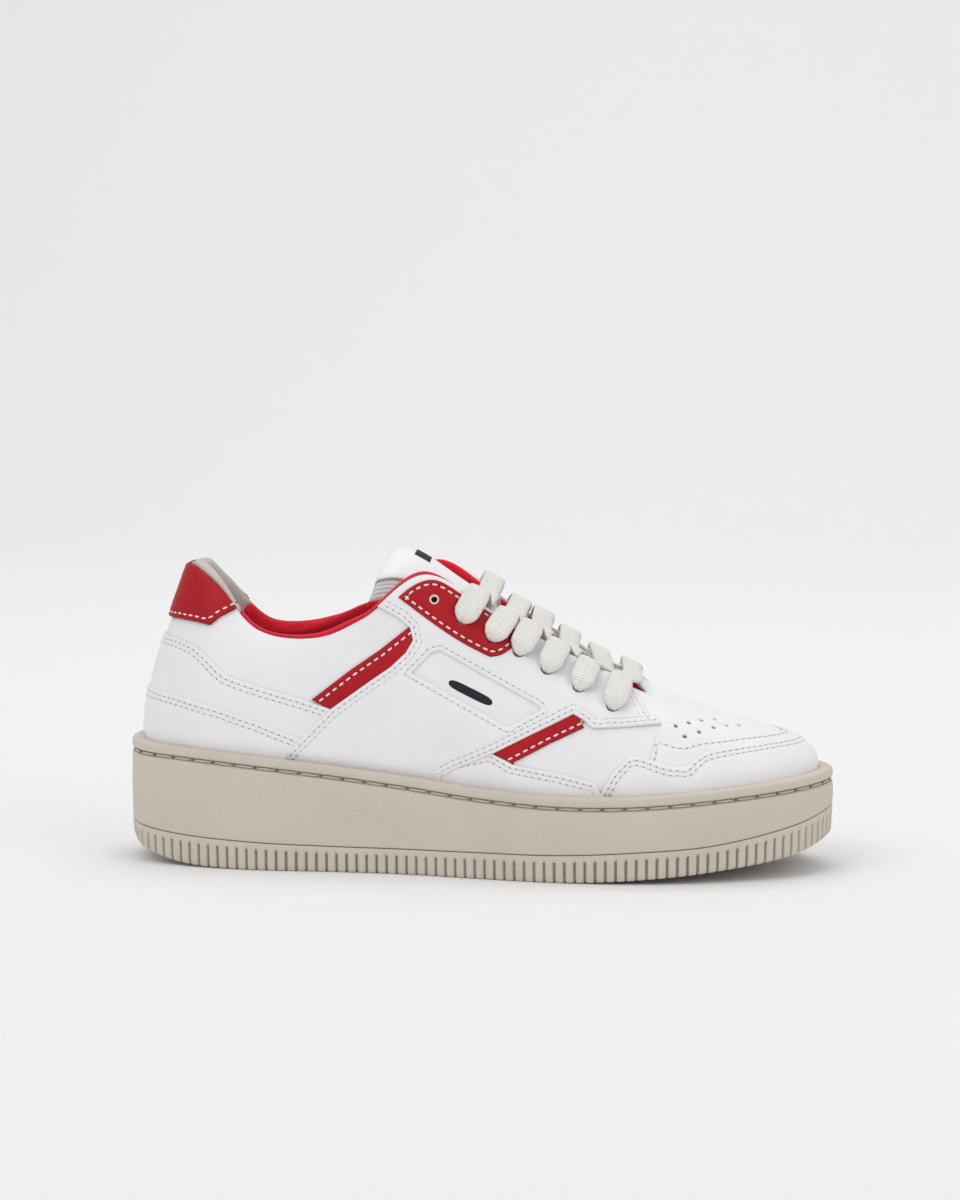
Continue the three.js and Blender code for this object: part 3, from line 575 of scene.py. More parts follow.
# ---- panels: an outline on the upper, filled with a fine net, with a rolled edge and sewn channels
def even(ut, step, closed=True):
    ut = np.asarray(ut, float)
    nxt = np.roll(ut, -1, 0) if closed else ut[1:]
    out = []
    for a, b in zip(ut, nxt):
        size = np.linalg.norm(leather(*a) - leather(*b))
        if size < 1e-3:
            continue
        n = max(1, int(round(size / step)))
        out.append(a + (b - a) * (np.arange(n) / n)[:, None])
    if not closed:
        out.append(ut[-1:])
    return np.concatenate(out)


def thin(ut, gap):
    kept = [ut[0]]
    for p in ut[1:]:
        if np.linalg.norm(leather(*p) - leather(*kept[-1])) >= gap:
            kept.append(p)
    return np.array(kept)


# The line moved sideways over the surface, to its left, by `distance`.
def beside(ut, distance, closed=True):
    p = leather(ut[:, 0], ut[:, 1])
    n = normal_at(ut[:, 0], ut[:, 1])
    before = unit(p - np.roll(p, 1, 0))
    after = unit(np.roll(p, -1, 0) - p)
    if not closed:
        before[0], after[-1] = after[0], before[-1]
    left = np.cross(n, before) + np.cross(n, after)
    size = np.maximum((left * left).sum(-1, keepdims=True), 1.0)
    moved = over_surface(ut, left * (2 / size) * distance)
    if distance < 1:
        return moved
    q = leather(moved[:, 0], moved[:, 1])
    near = np.sqrt(((q[:, None] - p[None]) ** 2).sum(-1)).min(1)
    return moved[near > 0.93 * distance]


def inside(points, loop):
    x, y = points[:, :1], points[:, 1:2]
    a, b = loop, np.roll(loop, -1, 0)
    crosses = (a[None, :, 1] > y) != (b[None, :, 1] > y)
    with np.errstate(divide="ignore", invalid="ignore"):
        share = (y - a[None, :, 1]) / (b[None, :, 1] - a[None, :, 1])
        at = a[None, :, 0] + share * (b[None, :, 0] - a[None, :, 0])
    return (crosses & (x < at)).sum(1) % 2 == 1


# Which points lie inside an outline and outside its holes.
def between(points, outlines):
    good = inside(points, outlines[0])
    for hole in outlines[1:]:
        good &= ~inside(points, hole)
    return good


def turn_left(loop):
    area = (loop[:, 0] * np.roll(loop[:, 1], -1) - np.roll(loop[:, 0], -1) * loop[:, 1]).sum()
    return loop if area > 0 else loop[::-1]


def below_edge(loop, top=0.995):
    out = []
    for a, b in zip(loop, np.roll(loop, -1, 0)):
        if a[1] <= top:
            out.append(a)
        if (a[1] <= top) != (b[1] <= top):
            out.append(a + (b - a) * (top - a[1]) / (b[1] - a[1]))
    return np.array(out)


def bore(ut, radius, sides=14):
    centre = np.repeat(np.array([ut], float), sides, 0)
    a = unit(slopes(*ut)[0])
    return over_surface(centre, radius * spokes(circle(sides), a, np.cross(normal_at(*ut), a)))


# Panels lie closer to the leather where they go down inside the cup.
def squeeze(u, t):
    above = leather(u, t)[..., 2] - along(RIM, u)[..., 2]
    s = np.clip((above + 0.5) / 4.5, 0, 1)
    return 0.25 + 0.75 * s * s * (3 - 2 * s)


# rows: sewn lines, pressed a little into the panel. Heights are above the body leather.
def panel(name, loop, top, base, material, holes=(), rows=(), net=2.4, roll=0.45, puff=0.0, edge_step=1.3):
    loop = even(turn_left(np.asarray(loop, float)), edge_step)
    loops = [thin(loop, 0.5)] + [turn_left(np.asarray(h, float))[::-1] for h in holes]
    scale = np.array([np.linalg.norm(v) for v in slopes(*loops[0].mean(0))])
    inner = [beside(l, roll) for l in loops]
    flat = [l * scale for l in inner]
    fixed = np.concatenate(flat)
    extra, drop = [], []
    for row in rows:
        row = even(row, 1.2, closed=False)
        extra.append(row)
        drop.append(np.full(len(row), 1.0))
        for away in (0.75, -0.75):
            beside_row = beside(row, away, closed=False)
            extra.append(beside_row)
            drop.append(np.zeros(len(beside_row)))
    low, high = flat[0].min(0), flat[0].max(0)
    xs, ys = np.arange(low[0], high[0], net), np.arange(low[1], high[1], net * 0.866)
    grid = np.array([(x + (net / 2 if k % 2 else 0), y) for k, y in enumerate(ys) for x in xs]).reshape(-1, 2)
    if extra:
        channel = np.concatenate(extra) * scale
        pressed = np.concatenate(drop)
        keep = between(channel, flat) & (nearest(channel, fixed) > 0.35)
        channel, pressed = channel[keep], pressed[keep]
    else:
        channel, pressed = np.zeros((0, 2)), np.zeros(0)
    if len(grid):
        grid = grid[between(grid, flat) & (nearest(grid, np.concatenate([fixed, channel])) > net * 0.6)]
    points = np.concatenate([fixed, channel, grid])
    edges, start, ring_ids = [], 0, []
    for l in flat:
        ids = list(range(start, start + len(l)))
        edges += list(zip(ids, ids[1:] + ids[:1]))
        ring_ids.append(ids)
        start += len(l)
    made = delaunay_2d_cdt([Vector(p) for p in points.tolist()], edges, [], 1, 1e-5, True)
    flat_out = np.array([tuple(v) for v in made[0]])
    where = {}
    for new, olds in enumerate(made[3]):
        for old in olds:
            where.setdefault(old, new)
    triangles = np.array([f for f in made[2] if len(f) == 3])
    triangles = triangles[between(flat_out[triangles].mean(1), flat)]
    n = len(flat_out)
    press = np.zeros(n)
    for old, value in enumerate(pressed, len(fixed)):
        press[where[old]] = max(press[where[old]], value)
    ut_out = flat_out / scale
    away = nearest(flat_out, fixed)
    tight = squeeze(ut_out[:, 0], ut_out[:, 1])
    rise = (top - base) * tight
    swell = puff * np.clip(away / 5, 0, 1) ** 0.5
    uts = [ut_out, ut_out]
    heights = [base + rise + swell * tight - SEAM_PRESS * press, np.full(n, base)]
    cuts = [np.zeros(n), np.ones(n)]
    faces = triangles.tolist() + (triangles[:, ::-1] + n).tolist()
    start = 2 * n
    for l, l_in, ids in zip(loops, inner, ring_ids):
        m = len(l)
        own = (top - base) * squeeze(l[:, 0], l[:, 1])
        near_in = l + (l_in - l) * 0.3
        rings = [(l, np.full(m, base), 1.0), (l, base + own * 0.55, 1.0), (near_in, base + own * 0.86, 0.6)]
        for ut, height, cut in rings:
            uts.append(ut)
            heights.append(height)
            cuts.append(np.full(m, cut))
        top_ring = [where[i] for i in ids]
        sides = [list(range(start + k * m, start + (k + 1) * m)) for k in range(len(rings))]
        rows_of = [[n + i for i in top_ring], *sides, top_ring]
        for a, b in zip(rows_of[:-1], rows_of[1:]):
            for i in range(m):
                j = (i + 1) % m
                quad = [a[i], a[j], b[j], b[i]]
                if len(set(quad)) == 4:
                    faces.append(quad)
                elif len(set(quad)) == 3:
                    faces.append(list(dict.fromkeys(quad)))
        start += len(rings) * m
    ut = np.concatenate(uts)
    return mesh_object(name, raised(ut[:, 0], ut[:, 1], np.concatenate(heights)), faces, material, ut * scale,
                       cut=np.concatenate(cuts))


# The parts of some lines that lie inside an outline, at least `margin` from it and from its holes.
def within(rows, loop, holes=(), margin=1.0):
    edges = [even(turn_left(np.asarray(l, float)), 1.0) for l in [loop, *holes]]
    scale = np.array([np.linalg.norm(v) for v in slopes(*edges[0].mean(0))])
    border = np.concatenate([leather(e[:, 0], e[:, 1]) for e in edges])
    kept = []
    for row in rows:
        row = even(row, 1.0, closed=False)
        good = between(row * scale, [e * scale for e in edges])
        good &= nearest(leather(row[:, 0], row[:, 1]), border) > margin
        cuts = np.flatnonzero(np.diff(np.concatenate([[0], good.astype(int), [0]])))
        kept += [row[a:b] for a, b in zip(cuts[::2], cuts[1::2]) if b - a > 4]
    return kept


def nearest(points, others):
    out = np.full(len(points), 1e9)
    for k in range(0, len(others), 400):
        block = others[k:k + 400]
        gap = ((points[:, None] - block[None]) ** 2).sum(-1).min(1) if len(points) else out
        out = np.minimum(out, np.sqrt(gap))
    return out


# ---------------------------------------------------------------- things that repeat, by Geometry Nodes
# A tree under construction: its named inputs, its nodes, and the links between them.
class Growth:
    def __init__(self, name, inputs):
        self.tree = bpy.data.node_groups.new(name, "GeometryNodeTree")
        face = self.tree.interface
        face.new_socket("Geometry", in_out="INPUT", socket_type="NodeSocketGeometry")
        for key, kind in inputs.items():
            face.new_socket(key, in_out="INPUT", socket_type=kind)
        face.new_socket("Geometry", in_out="OUTPUT", socket_type="NodeSocketGeometry")
        self.start = self.tree.nodes.new("NodeGroupInput")
        self.end = self.tree.nodes.new("NodeGroupOutput")

    def __getitem__(self, name):
        return self.start.outputs[name]

    def node(self, kind, settings=None, values=None, output=0):
        made = self.tree.nodes.new(kind)
        for key, value in (settings or {}).items():
            setattr(made, key, value)
        for key, value in (values or {}).items():
            if isinstance(value, bpy.types.NodeSocket):
                self.tree.links.new(value, made.inputs[key])
            else:
                made.inputs[key].default_value = value
        return made.outputs[output]

    def vector(self, name):
        return self.node("GeometryNodeInputNamedAttribute", {"data_type": "FLOAT_VECTOR"}, {"Name": name},
                         "Attribute")

    # Ends the tree: the instances made real, smooth, in one material.
    def finish(self, instances):
        real = self.node("GeometryNodeRealizeInstances", {}, {"Geometry": instances})
        soft = self.node("GeometryNodeSetShadeSmooth", {}, {"Geometry": real})
        done = self.node("GeometryNodeSetMaterial", {}, {"Geometry": soft, "Material": self["Material"]})
        self.tree.links.new(done, self.end.inputs[0])
        return self.tree


FLOAT, VECTOR, MATERIAL = "NodeSocketFloat", "NodeSocketVector", "NodeSocketMaterial"


# Small rounded beads set along lines, each turned to its line and to the surface under it.
def beads_tree():
    g = Growth("beads along lines", {"Pitch": FLOAT, "Size": VECTOR, "Offset": VECTOR, "Material": MATERIAL})
    curve = g.node("GeometryNodeMeshToCurve", {}, {"Mesh": g["Geometry"]})
    spaced = g.node("GeometryNodeResampleCurve", {"mode": "LENGTH"}, {"Curve": curve, "Length": g["Pitch"]})
    ball = g.node("GeometryNodeMeshUVSphere", {}, {"Segments": 8, "Rings": 6, "Radius": 0.5})
    bead = g.node("GeometryNodeTransform", {},
                  {"Geometry": ball, "Scale": g["Size"], "Translation": g["Offset"]})
    turn = g.node("FunctionNodeAxesToRotation", {"primary_axis": "Z", "secondary_axis": "X"},
                  {"Primary Axis": g.vector("lift"), "Secondary Axis": g.node("GeometryNodeInputTangent")})
    return g.finish(g.node("GeometryNodeInstanceOnPoints", {},
                           {"Points": spaced, "Instance": bead, "Rotation": turn}))


# Bars set on loose points, turned by two directions kept on each point and sized by a third.
def blocks_tree():
    g = Growth("blocks on points", {"Bevel": FLOAT, "Material": MATERIAL})
    points = g.node("GeometryNodeMeshToPoints", {}, {"Mesh": g["Geometry"]})
    block = g.node("GeometryNodeMeshCube", {}, {"Vertices X": 3, "Vertices Y": 3, "Vertices Z": 2})
    soft = g.node("GeometryNodeSubdivisionSurface", {}, {"Mesh": block, "Level": 1, "Edge Crease": 0.7})
    turn = g.node("FunctionNodeAxesToRotation", {"primary_axis": "Z", "secondary_axis": "X"},
                  {"Primary Axis": g.vector("lift"), "Secondary Axis": g.vector("way")})
    return g.finish(g.node("GeometryNodeInstanceOnPoints", {},
                           {"Points": points, "Instance": soft, "Rotation": turn, "Scale": g.vector("size")}))


BEADS = beads_tree()
BLOCKS = blocks_tree()


# The mesh that a tree grows from lines or points.
def grow(name, tree, points, edges, values, **vectors):
    mesh = bpy.data.meshes.new(name + "_source")
    mesh.from_pydata(((np.asarray(points, float) + (0, SIDE_SHIFT, 0)) * MM).tolist(), edges, [])
    for key, rows in vectors.items():
        made = mesh.attributes.new(key, "FLOAT_VECTOR", "POINT")
        made.data.foreach_set("vector", np.asarray(rows, np.float32).ravel())
    seed = add_object(name + "_source", mesh)
    modifier = seed.modifiers.new("grow", "NODES")
    modifier.node_group = tree
    for item in tree.interface.items_tree:
        if item.in_out == "INPUT" and item.name in values:
            modifier[item.identifier] = values[item.name]
    grown = bpy.data.meshes.new_from_object(seed.evaluated_get(bpy.context.evaluated_depsgraph_get()))
    seed.modifiers.clear()
    bpy.data.objects.remove(seed)
    grown.name = name
    return add_object(name, grown)


# Each row is (points on a surface, the surface's directions there).
def beads(name, rows, pitch, size, material, offset=(0, 0, 0)):
    points, lifts, edges = [], [], []
    for places, directions in rows:
        start = len(points)
        points += list(places)
        lifts += list(directions)
        edges += [(start + k, start + k + 1) for k in range(len(places) - 1)]
    values = {"Pitch": pitch * MM, "Size": [v * MM for v in size], "Offset": [v * MM for v in offset],
              "Material": material}
    return grow(name, BEADS, points, edges, values, lift=lifts)


# A panel with its sewn rows: (thread, hole, pitch, length, width) of the stitches, where the hole material is
# the painted shade of the needle holes.
PLAIN_SEAM = (WHITE_THREAD, NEEDLE_HOLE_SHADE, 2.7, 2.05, 0.75)
RED_SEAM = (WHITE_THREAD, RED_SEAM_HOLE_SHADE, 3.3, 2.4, 0.8)


def sewn_panel(name, loop, top, base, material, slot, holes=(), rows=(), seam=PLAIN_SEAM, **looks):
    rows = within(rows, loop, holes)
    piece = panel(name + "_leather", loop, top, base, material, holes, rows, **looks)
    settle(piece, nodes=[name])
    if rows:
        sewn(name + "_stitching", rows, top, slot, *seam)


# A sewn row: stitches standing a little proud, and the needle holes between them as darker beads, which are
# painted shade.
def sewn(name, rows, height, slot, thread, hole, pitch, long, wide):
    laid = []
    for ut in rows:
        tight = squeeze(ut[:, 0], ut[:, 1])
        laid.append((raised(ut[:, 0], ut[:, 1], height * tight + 0.02), normal_at(ut[:, 0], ut[:, 1])))
    settle(beads(name, laid, pitch, (long, wide, 0.5), thread, (0, 0, -0.04)))
    settle(beads(name + "_holes", laid, pitch, (1.15, 0.6, 0.42), hole, (pitch / 2, 0, -0.14)))


# ---------------------------------------------------------------- the upper's outlines, in side elevation
SADDLE_REAR = [(-74.2, 44.6), (-67, 51.8), (-54.6, 64.2), (-39, 75.4), (-31, 80.9), (-25, 86.6),
               (-22.3, 91.4), (-23.6, 96), (-28, 99.6), (-33.5, 102.4), (-42, 106)]
WINDOW = [(-22.6, 78.9), (-15, 86.6), (-11.5, 87.6), (27.5, 66.8), (28.3, 65.4), (15.7, 58.9)]
SADDLE_FRONT = [(-12.2, 37.9), (-5.2, 42), (9.6, 48.5), (24.2, 55.9), (40.7, 63.8), (44.8, 61.6),
                (48.2, 58.7), (58.9, 58.9), (74.4, 59.7), (69.6, 62.3), (67, 65.7), (64.6, 69), (61.2, 72)]
REAR_STRIPE_TOP = [(-24.2, 96.4), (-35.5, 87.4), (-47.2, 79.3), (-62.3, 67.6)]
FRONT_STRIPE = [(7, 48.8), (23.4, 57.4), (39.7, 65), (42.5, 63.6), (45.1, 59.1), (32.3, 53.2), (17.9, 45.4)]
SIDE_PANEL_TOP = [(-24, 37.2), (-12, 44.4), (9.4, 49.4), (17.7, 44.9), (36.4, 41.9), (50.6, 38.6), (53, 36)]
HEEL_TOP = [(-150, 90.5), (-124.8, 89.8), (-117.3, 89.2), (-109.3, 86.7), (-104.4, 83.1), (-99.2, 78.3),
            (-95.1, 75.8), (-82.9, 72.2), (-66.9, 68), (-53.5, 63.8)]
FOXING_TOP = [(-150, 69.5), (-130.7, 68.9), (-116.1, 67.2), (-99, 63.5), (-82.8, 58.5), (-66, 52)]
TAB_LOW = [(-150, 96.3), (-124.1, 96.3), (-118, 96.6), (-110.8, 96.2), (-104.2, 95.2)]
TAB_FRONT = [(-104.2, 95.2), (-100.4, 98.3), (-94.5, 101.4)]
GUARD_SIDE = [(51.5, 30), (52.3, 34.6), (56.6, 42.2), (60.3, 45.9), (63, 48.1), (67.1, 48.1), (70.9, 47),
              (74.8, 45.5), (79.4, 44.4), (84.8, 44.3), (87.7, 47.1), (91, 49.1), (95.5, 50)]
GUARD_FRONT = [(95.5, 50), (104.8, 50.8), (116, 51.1), (160, 51.4)]
BAND_SIDE = [(70.6, 45.5), (72.8, 55.6), (76.3, 53.8), (80.2, 52.6), (84, 52.2), (89.6, 53.4)]
BAND_FRONT = [(89.6, 53.4), (104.6, 53.9), (117.6, 53.7), (160, 53.4)]
PATCH_TOP = [(-28.5, 107.4), (-24.3, 110.9), (-20, 113.3), (-16, 114), (-12.8, 113.2), (-8.9, 110.9),
             (0, 104.5), (18.5, 92.2)]
PATCH_LOW = [(18.5, 92.2), (16.9, 89.5), (14.5, 87), (11.6, 85.4), (8.9, 85), (5.8, 85.7), (-8, 93.3),
             (-28.5, 107.4)]
EYELETS = [(55.3, 66), (42, 73.1), (29.5, 79.9), (18.4, 86.6), (7.8, 91.8), (-3.5, 99), (-14.6, 106.5)]
PUNCHES = [(83.8, 30.9), (89.1, 26.8), (94.4, 21.4), (99.2, 16.3), (103.7, 12.1),
           (80.1, 28.4), (84.9, 24.4), (89.6, 19.6), (94.4, 14.4)]
SEAM = 6.5                     # station where the quarters meet the vamp
BORE, SADDLE_BORE, TOP_BORE = 2.3, 2.4, 1.7    # eyelet holes' radii
HEEL_LINING_END = 2.6
FIRST_ROW, SECOND_ROW = 1.6, 3.4   # sewn rows, in from a panel's edge

EYELET_UT = {side: spot(side, [x for x, z in EYELETS], [z for x, z in EYELETS]) for name, side in SIDES}


def shifted(points, dx, dz):
    return [(x + dx, z + dz) for x, z in points]


def ends(ut):
    return float(ut[0, 0]), float(ut[-1, 0])


# On a panel that wraps the heel, the inner side's stations run below zero.
def heelwards(ut):
    return np.stack([np.where(ut[:, 0] > TOE, ut[:, 0] - ROUND, ut[:, 0]), ut[:, 1]], -1)


# Rows parallel to an edge, inside the panel whose outline runs anticlockwise.
def rows_inside(edge, distances=(FIRST_ROW, SECOND_ROW), flip=False):
    edge = even(edge[::-1] if flip else edge, 1.5, closed=False)
    return [beside(edge, d, closed=False) for d in distances]


def make_body():
    for name, side in SIDES:
        u0, u1 = 0.02, SEAM - 0.01
        loop = np.array([(u0, 0.03), (u1, 0.03), (u1, 1.0), (u0, 1.0)])
        if side == MEDIAL:
            loop[:, 0] = ROUND - loop[:, 0]
        holes = [bore(e, BORE) for e in EYELET_UT[side] if abs(e[0] - ROUND * (side == MEDIAL)) < SEAM - 0.15]
        piece = panel(f"quarter_{name}_leather", loop, 0.0, -LEATHER, WHITE_LEATHER, holes, net=3.2, puff=0.0)
        settle(piece, nodes=[f"quarter_{name}"])
    u0, u1 = SEAM + 0.01, ROUND - SEAM - 0.01
    loop = np.array([(u0, 0.03), (u1, 0.03), (u1, 1.0), (u0, 1.0)])
    holes = [bore(e, BORE) for side in (LATERAL, MEDIAL) for e in EYELET_UT[side]
             if SEAM + 0.15 < e[0] < ROUND - SEAM - 0.15]
    punches = np.concatenate([spot(side, [x for x, y in PUNCHES], [side * y for x, y in PUNCHES], (0, 1), 0.7)
                              for name, side in SIDES])
    holes += [bore(p, 0.85, 10) for p in punches]
    piece = panel("vamp_leather", loop, 0.0, -LEATHER, WHITE_LEATHER, holes, net=2.8)
    settle(piece, nodes=["vamp"])
    # painted shade: a grey plug under each punched hole stands in for the shade inside it
    centres = raised(punches[:, 0], punches[:, 1], -1.0)
    lifts = normal_at(punches[:, 0], punches[:, 1])
    count = (len(centres), 1)
    plugs = grow("punched_holes", BLOCKS, centres, [], {"Material": PUNCHED_HOLE_SHADE}, lift=lifts,
                 way=np.tile((1.0, 0, 0), count), size=np.tile((2.4 * MM, 2.4 * MM, 0.3 * MM), count))
    settle(plugs)


def make_saddle(name, side):
    rear = line(side, SADDLE_REAR)
    front = line(side, SADDLE_FRONT)
    low = foot(front[0, 0], rear[0, 0])
    top = np.stack([np.linspace(rear[-1, 0], front[-1, 0], 90), np.full(90, 1.0)], -1)
    loop = below_edge(np.concatenate([low[::-1], front[1:], top[::-1][1:-1], rear[::-1][:-1]]), 0.992)
    window = even(turn_left(line(side, WINDOW + WINDOW[:1])[:-1]), 1.3)
    holes = [window] + [bore(e, SADDLE_BORE) for e in EYELET_UT[side]]
    flip = side == MEDIAL
    rows = rows_inside(rear, flip=not flip)
    prong = len(line(side, SADDLE_FRONT[:9]))
    rows += rows_inside(front[:prong], flip=flip) + rows_inside(front[prong:], flip=flip)
    frame_row = beside(window, -1.8)
    rows.append(np.concatenate([frame_row, frame_row[:1]]))
    sewn_panel(f"saddle_{name}", loop, MID, 0.05, WHITE_LEATHER, "white_leather", holes, rows, net=2.6,
               puff=0.25)
    sewn_panel(f"side_window_{name}", beside(window, -1.2), 0.45, -0.1, WHITE_LEATHER, "white_leather",
               net=2.6, roll=0.4, puff=0.25)


def make_stripes(name, side):
    flip = side == MEDIAL
    low = shifted(SADDLE_REAR[2:8], 1.6, -1.2)
    top = line(side, REAR_STRIPE_TOP)
    loop = np.concatenate([line(side, low), line(side, [low[-1], REAR_STRIPE_TOP[0]])[1:], top[1:],
                           line(side, [REAR_STRIPE_TOP[-1], low[0]])[1:-1]])
    sewn_panel(f"rear_stripe_{name}", loop, LOW, 0.05, RED_LEATHER, "red_leather", (),
               rows_inside(top, (2.3,), flip=flip), RED_SEAM, net=2.0, puff=0.2)
    loop = line(side, FRONT_STRIPE + FRONT_STRIPE[:1])[:-1]
    sewn_panel(f"front_stripe_{name}", loop, LOW, 0.05, RED_LEATHER, "red_leather", (),
               rows_inside(line(side, FRONT_STRIPE[4:]), (1.9,), flip=not flip), RED_SEAM, net=2.0, puff=0.2)
    top = line(side, SIDE_PANEL_TOP)
    loop = np.concatenate([foot(*ends(top)), top[::-1][1:-1]])
    sewn_panel(f"side_panel_{name}", loop, LOW, 0.05, WHITE_LEATHER, "white_leather", (),
               rows_inside(top, flip=not flip), net=2.4, puff=0.15)


def make_patch(name, side):
    top, low = smooth(PATCH_TOP, 30), smooth(PATCH_LOW, 30)
    loop = below_edge(line(side, np.concatenate([top, low[1:]]).tolist(), 1.5)[:-1], 0.985)
    row = beside(even(turn_left(loop), 1.3), 1.9)
    holes = [bore(e, r) for e, r in zip(EYELET_UT[side][4:], (BORE, BORE, TOP_BORE))]
    sewn_panel(f"eyelet_patch_{name}", loop, HIGH, MID - 0.2, RED_LEATHER, "red_leather", holes,
               [np.concatenate([row, row[:1]])], RED_SEAM, net=2.0, puff=0.15)
    make_ring(f"top_eyelet_{name}_ring", EYELET_UT[side][6])


def make_ring(name, ut):
    centre, n = leather(*ut), normal_at(*ut)
    a = unit(slopes(*ut)[0])
    spoke = spokes(circle(36), a, np.cross(n, a))
    section = [(1.25, HIGH - 1.4), (1.2, HIGH), (1.28, HIGH + 0.35), (1.5, HIGH + 0.48), (1.8, HIGH + 0.38),
               (1.95, HIGH + 0.1), (1.9, HIGH - 0.4), (1.7, HIGH - 1.4)]
    rings = [centre + r * spoke + h * n for r, h in section]
    settle(loft(name, rings[::-1], RING_PAINT), nodes=[name.removesuffix("_ring")])


def make_heel():
    # A panel that wraps the heel below a line: its front edges on both sides, and the foot.
    def wrapped(front_points, top_points):
        front = {side: heelwards(line(side, front_points)) for name, side in SIDES}
        top = level(np.linspace(front[LATERAL][0, 0], front[MEDIAL][0, 0], 150), profile(top_points))
        low = foot(front[MEDIAL][-1, 0], front[LATERAL][-1, 0])
        return np.concatenate([low, front[LATERAL][::-1][1:], top[1:], front[MEDIAL][1:-1]]), rows_inside(top)

    loop, rows = wrapped([(-53.5, 63.8), (-66.2, 50.9), (-73.3, 43.9)], HEEL_TOP)
    sewn_panel("heel_overlay", loop, LOW, 0.05, WHITE_LEATHER, "white_leather", (), rows, net=3.0, puff=0.15)
    loop, rows = wrapped([(-66, 52), (-73.5, 44)], FOXING_TOP)
    sewn_panel("heel_foxing", loop, MID + 0.1, LOW - 0.3, WHITE_LEATHER, "white_leather", (), rows, net=3.0,
               puff=0.15)

    front = {side: heelwards(line(side, TAB_FRONT + [(-91.5, 103.4)])) for name, side in SIDES}
    low = level(np.linspace(front[LATERAL][0, 0], front[MEDIAL][0, 0], 70), profile(TAB_LOW))
    top = np.stack([np.linspace(front[LATERAL][-1, 0], front[MEDIAL][-1, 0], 60), np.full(60, 1.01)], -1)
    loop = np.concatenate([low[::-1], front[LATERAL][1:], top[1:-1], front[MEDIAL][::-1][:-1]])
    loop = below_edge(loop, 1.0)
    edge = np.concatenate([front[MEDIAL][::-1], low[::-1][1:], front[LATERAL][1:]])
    sewn_panel("heel_tab", loop, MID, 0.05, RED_LEATHER, "red_leather", (), rows_inside(edge, (1.9,)),
               RED_SEAM, net=2.4, puff=0.3)


def make_toe():
    def across(side_points, front_points):
        lateral, medial = line(LATERAL, side_points), line(MEDIAL, side_points)
        us = np.linspace(lateral[-1, 0], medial[-1, 0], 110)
        return np.concatenate([lateral[:-1], level(us, profile(front_points)), medial[::-1][1:]])

    top = across(GUARD_SIDE, GUARD_FRONT)
    loop = np.concatenate([foot(top[0, 0], top[-1, 0]), top[::-1][1:-1]])
    sewn_panel("toe_guard", loop, MID, 0.05, WHITE_LEATHER, "white_leather", (), rows_inside(top, flip=True),
               net=3.0, puff=0.15)
    top = across(BAND_SIDE, BAND_FRONT)
    under = profile(GUARD_SIDE[6:] + GUARD_FRONT[1:])
    low = level(np.linspace(top[0, 0], top[-1, 0], 140), lambda u, x: under(u, x) - 1.5)
    sewn_panel("toe_band", np.concatenate([low, top[::-1]]), LOW, 0.05, WHITE_LEATHER, "white_leather", (),
               rows_inside(top, (1.5,), flip=True), net=2.4, puff=0.1)


make_body()
for side_name, side_sign in SIDES:
    make_saddle(side_name, side_sign)
    make_stripes(side_name, side_sign)
    make_patch(side_name, side_sign)
make_heel()
make_toe()


# ---------------------------------------------------------------- sole
RIB_PITCH = 4.0
SLOT_DEPTH = 1.35              # how far the slot between two ribs goes in
# painted shade inside the slots between the ribs
SLOT_SHADE = 0.8                # how dark it is inside
SOLE_PITCH = 8.7
SOLE_STITCH = (8.3, 0.95, 0.9)
# Columns of one rib, from the middle of its slot: (distance along, depth of slot there).
RIB_COLUMNS = ((-0.42, 1.0), (0.42, 1.0), (0.62, 0.0), (1.05, 0.0), (2.95, 0.0), (3.38, 0.0))


def rib_stations():
    u = np.linspace(0, ROUND, 2201)
    run = lengths(along(TREAD_LINE, u))
    ribs = int(round(run[-1] / RIB_PITCH))
    pitch = run[-1] / ribs
    at = np.array([(k * RIB_PITCH + d) * pitch / RIB_PITCH for k in range(ribs) for d, deep in RIB_COLUMNS])
    deep = np.tile([deep for d, deep in RIB_COLUMNS], ribs)
    return np.interp(at % run[-1], run, u), deep


